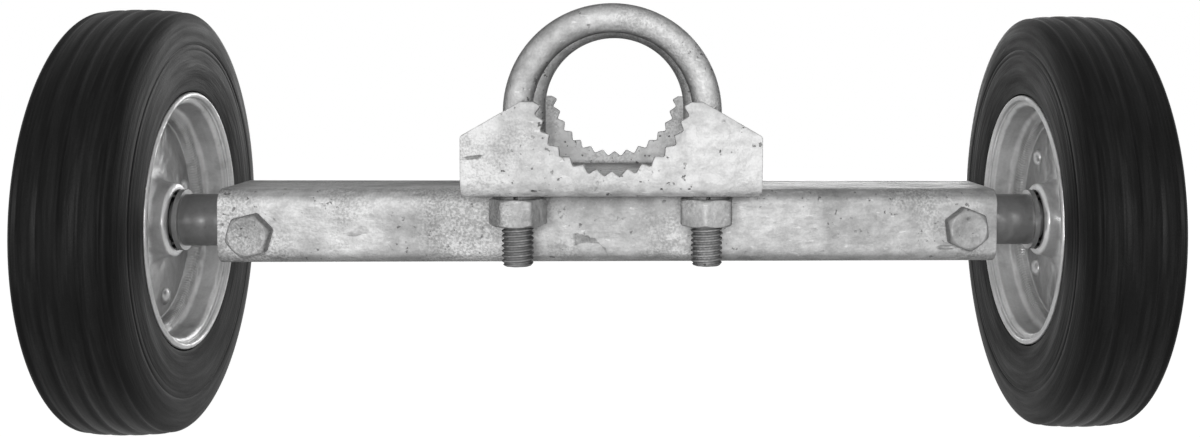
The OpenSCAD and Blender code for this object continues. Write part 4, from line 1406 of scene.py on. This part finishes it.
# %% Rivet tree
def rivet_tree():
    tree, given = new_tree("rivets", "Outline", ("Circle radius", "Turn", "Wheel middle", "Axle height"),
                           ("Count", "Steps round"))
    count = add(tree, "GeometryNodeAttributeDomainSize", {"Geometry": given["Outline"]})
    points = count.outputs["Point Count"]
    mesh, share, along = unit_grid(tree, calc(tree, "ADD", given["Steps round"], 1), points)
    angle = product(tree, share, 2 * math.pi)
    row = calc(tree, "ROUND", calc(tree, "MULTIPLY", along, calc(tree, "SUBTRACT", points, 1)))
    outline = outline_point(tree, given["Outline"], row)
    one = bent_grid(tree, mesh, {
        "X": outline["X"],
        "Y": calc(tree, "MULTIPLY", outline["Z"], calc(tree, "SINE", angle)),
        "Z": calc(tree, "MULTIPLY", outline["Z"], calc(tree, "COSINE", angle))}, 1e-6)
    circle = add(tree, "GeometryNodeMeshCircle",
                 {"Vertices": given["Count"], "Radius": given["Circle radius"]})
    upright = add(tree, "GeometryNodeTransform", {
        "Geometry": circle.outputs["Mesh"], "Rotation": (0, math.pi / 2, 0)})
    lean = add(tree, "ShaderNodeCombineXYZ", {"X": given["Turn"]})
    there = add(tree, "ShaderNodeCombineXYZ", {"X": given["Wheel middle"], "Z": given["Axle height"]})
    stood = add(tree, "GeometryNodeTransform", {
        "Geometry": upright.outputs[0], "Rotation": lean.outputs[0], "Translation": there.outputs[0]})
    placed = add(tree, "GeometryNodeInstanceOnPoints", {"Points": stood.outputs[0], "Instance": one})
    end_tree(tree, placed.outputs[0], given["Finish"])
    return tree


rivet_maker = rivet_tree()
print("rivet nodes:", len(rivet_maker.nodes))

# %% Rivets
RIVET_HALF_L = span("left_rivets").x / 2
RIVET_HEAD_R = 3.8 * MM
RIVET_HEAD_H = 2.2 * MM
RIVET_SHANK_R = 2 * MM
RIVET_CIRCLE_R = 35.5 * MM
WHEEL_TURNS = {"left": math.radians(17), "right": math.radians(45)}


def rivet_outline():
    turns = [math.radians(a) for a in range(90, -1, -9)]
    head = [(RIVET_HALF_L - RIVET_HEAD_H * (1 - math.sin(a)), RIVET_HEAD_R * math.cos(a)) for a in turns]
    half = head + [(RIVET_HALF_L - RIVET_HEAD_H - 0.15 * MM, 0.93 * RIVET_HEAD_R),
                   (RIVET_HALF_L - RIVET_HEAD_H - 0.3 * MM, RIVET_SHANK_R)]
    return half + [(-x, r) for x, r in reversed(half)]


for side, sign in SIDES.items():
    base = bpy.data.meshes.new(side + "_rivet_outline")
    base.from_pydata([(x, 0, r) for x, r in rivet_outline()], [], [])
    rivets = clean(grow(side + "_rivet_set", rivet_maker, base, {
        "Circle radius": RIVET_CIRCLE_R, "Turn": WHEEL_TURNS[side], "Wheel middle": sign * wheel_x,
        "Axle height": axle_z, "Count": 4, "Steps round": 28, "Finish": FINISHES["zinc_rivet"]}))
    dress(rivets, "zinc_rivet", side + "_wheel", side + "_rivets")

# %% [markdown]
# ## Studio
# A plain pale floor and soft light. A large lamp near the camera lights the faces that look at it, the
# world fills the rest, and a weaker lamp from behind keeps the other sides readable. The floor and the
# world are white to the camera and to reflections only, so they don't add light to the metal.


# %% Floor, world and lamps
FLOOR_GREY = 0.22
FLOOR_GLOW = 0.99
WORLD_FILL = 0.045


def seen_directly(tree):
    ray = add(tree, "ShaderNodeLightPath").outputs
    seen = calc(tree, "MAXIMUM", ray["Is Camera Ray"], ray["Is Glossy Ray"])
    return calc(tree, "MAXIMUM", seen, ray["Is Transmission Ray"])


def make_floor():
    work = bmesh.new()
    bmesh.ops.create_grid(work, x_segments=1, y_segments=1, size=6)
    mesh = bpy.data.meshes.new("floor")
    work.to_mesh(mesh)
    work.free()
    floor = bpy.data.objects.new("floor", mesh)
    scene.collection.objects.link(floor)
    material = bpy.data.materials.new("pale_floor")
    material.use_nodes = True
    tree = material.node_tree
    tree.nodes.clear()
    matt = add(tree, "ShaderNodeBsdfDiffuse", {"Color": (FLOOR_GREY, FLOOR_GREY, FLOOR_GREY, 1)})
    strength = calc(tree, "MULTIPLY", seen_directly(tree), FLOOR_GLOW)
    glow = add(tree, "ShaderNodeEmission", {"Color": (1, 1, 1, 1), "Strength": strength})
    both = add(tree, "ShaderNodeAddShader", {0: matt.outputs[0], 1: glow.outputs[0]})
    add(tree, "ShaderNodeOutputMaterial", {"Surface": both.outputs[0]})
    mesh.materials.append(material)


def area_lamp(name, place, target, size, power):
    data = bpy.data.lights.new(name, "AREA")
    data.shape = "RECTANGLE"
    data.size, data.size_y = size
    data.energy = power
    lamp = bpy.data.objects.new(name, data)
    lamp.location = place
    lamp.rotation_euler = (Vector(target) - Vector(place)).to_track_quat("-Z", "Y").to_euler()
    scene.collection.objects.link(lamp)


def make_world():
    world = bpy.data.worlds.new("studio")
    scene.world = world
    world.use_nodes = True
    tree = world.node_tree
    tree.nodes.clear()
    strength = ranged(tree, seen_directly(tree), 0, 1, WORLD_FILL, 1.0)
    sky = add(tree, "ShaderNodeBackground", {"Color": (1, 1, 1, 1), "Strength": strength})
    add(tree, "ShaderNodeOutputWorld", {"Surface": sky.outputs[0]})


make_floor()
make_world()
area_lamp("key", (-0.04, -1.1, 0.24), (0, 0, 0.1), (0.5, 0.3), 8.2)
area_lamp("back", (0.35, 1.3, 0.36), (0, 0, 0.08), (0.8, 0.5), 4.0)
scene.view_settings.view_transform = "Standard"
print("lamps: key and back")
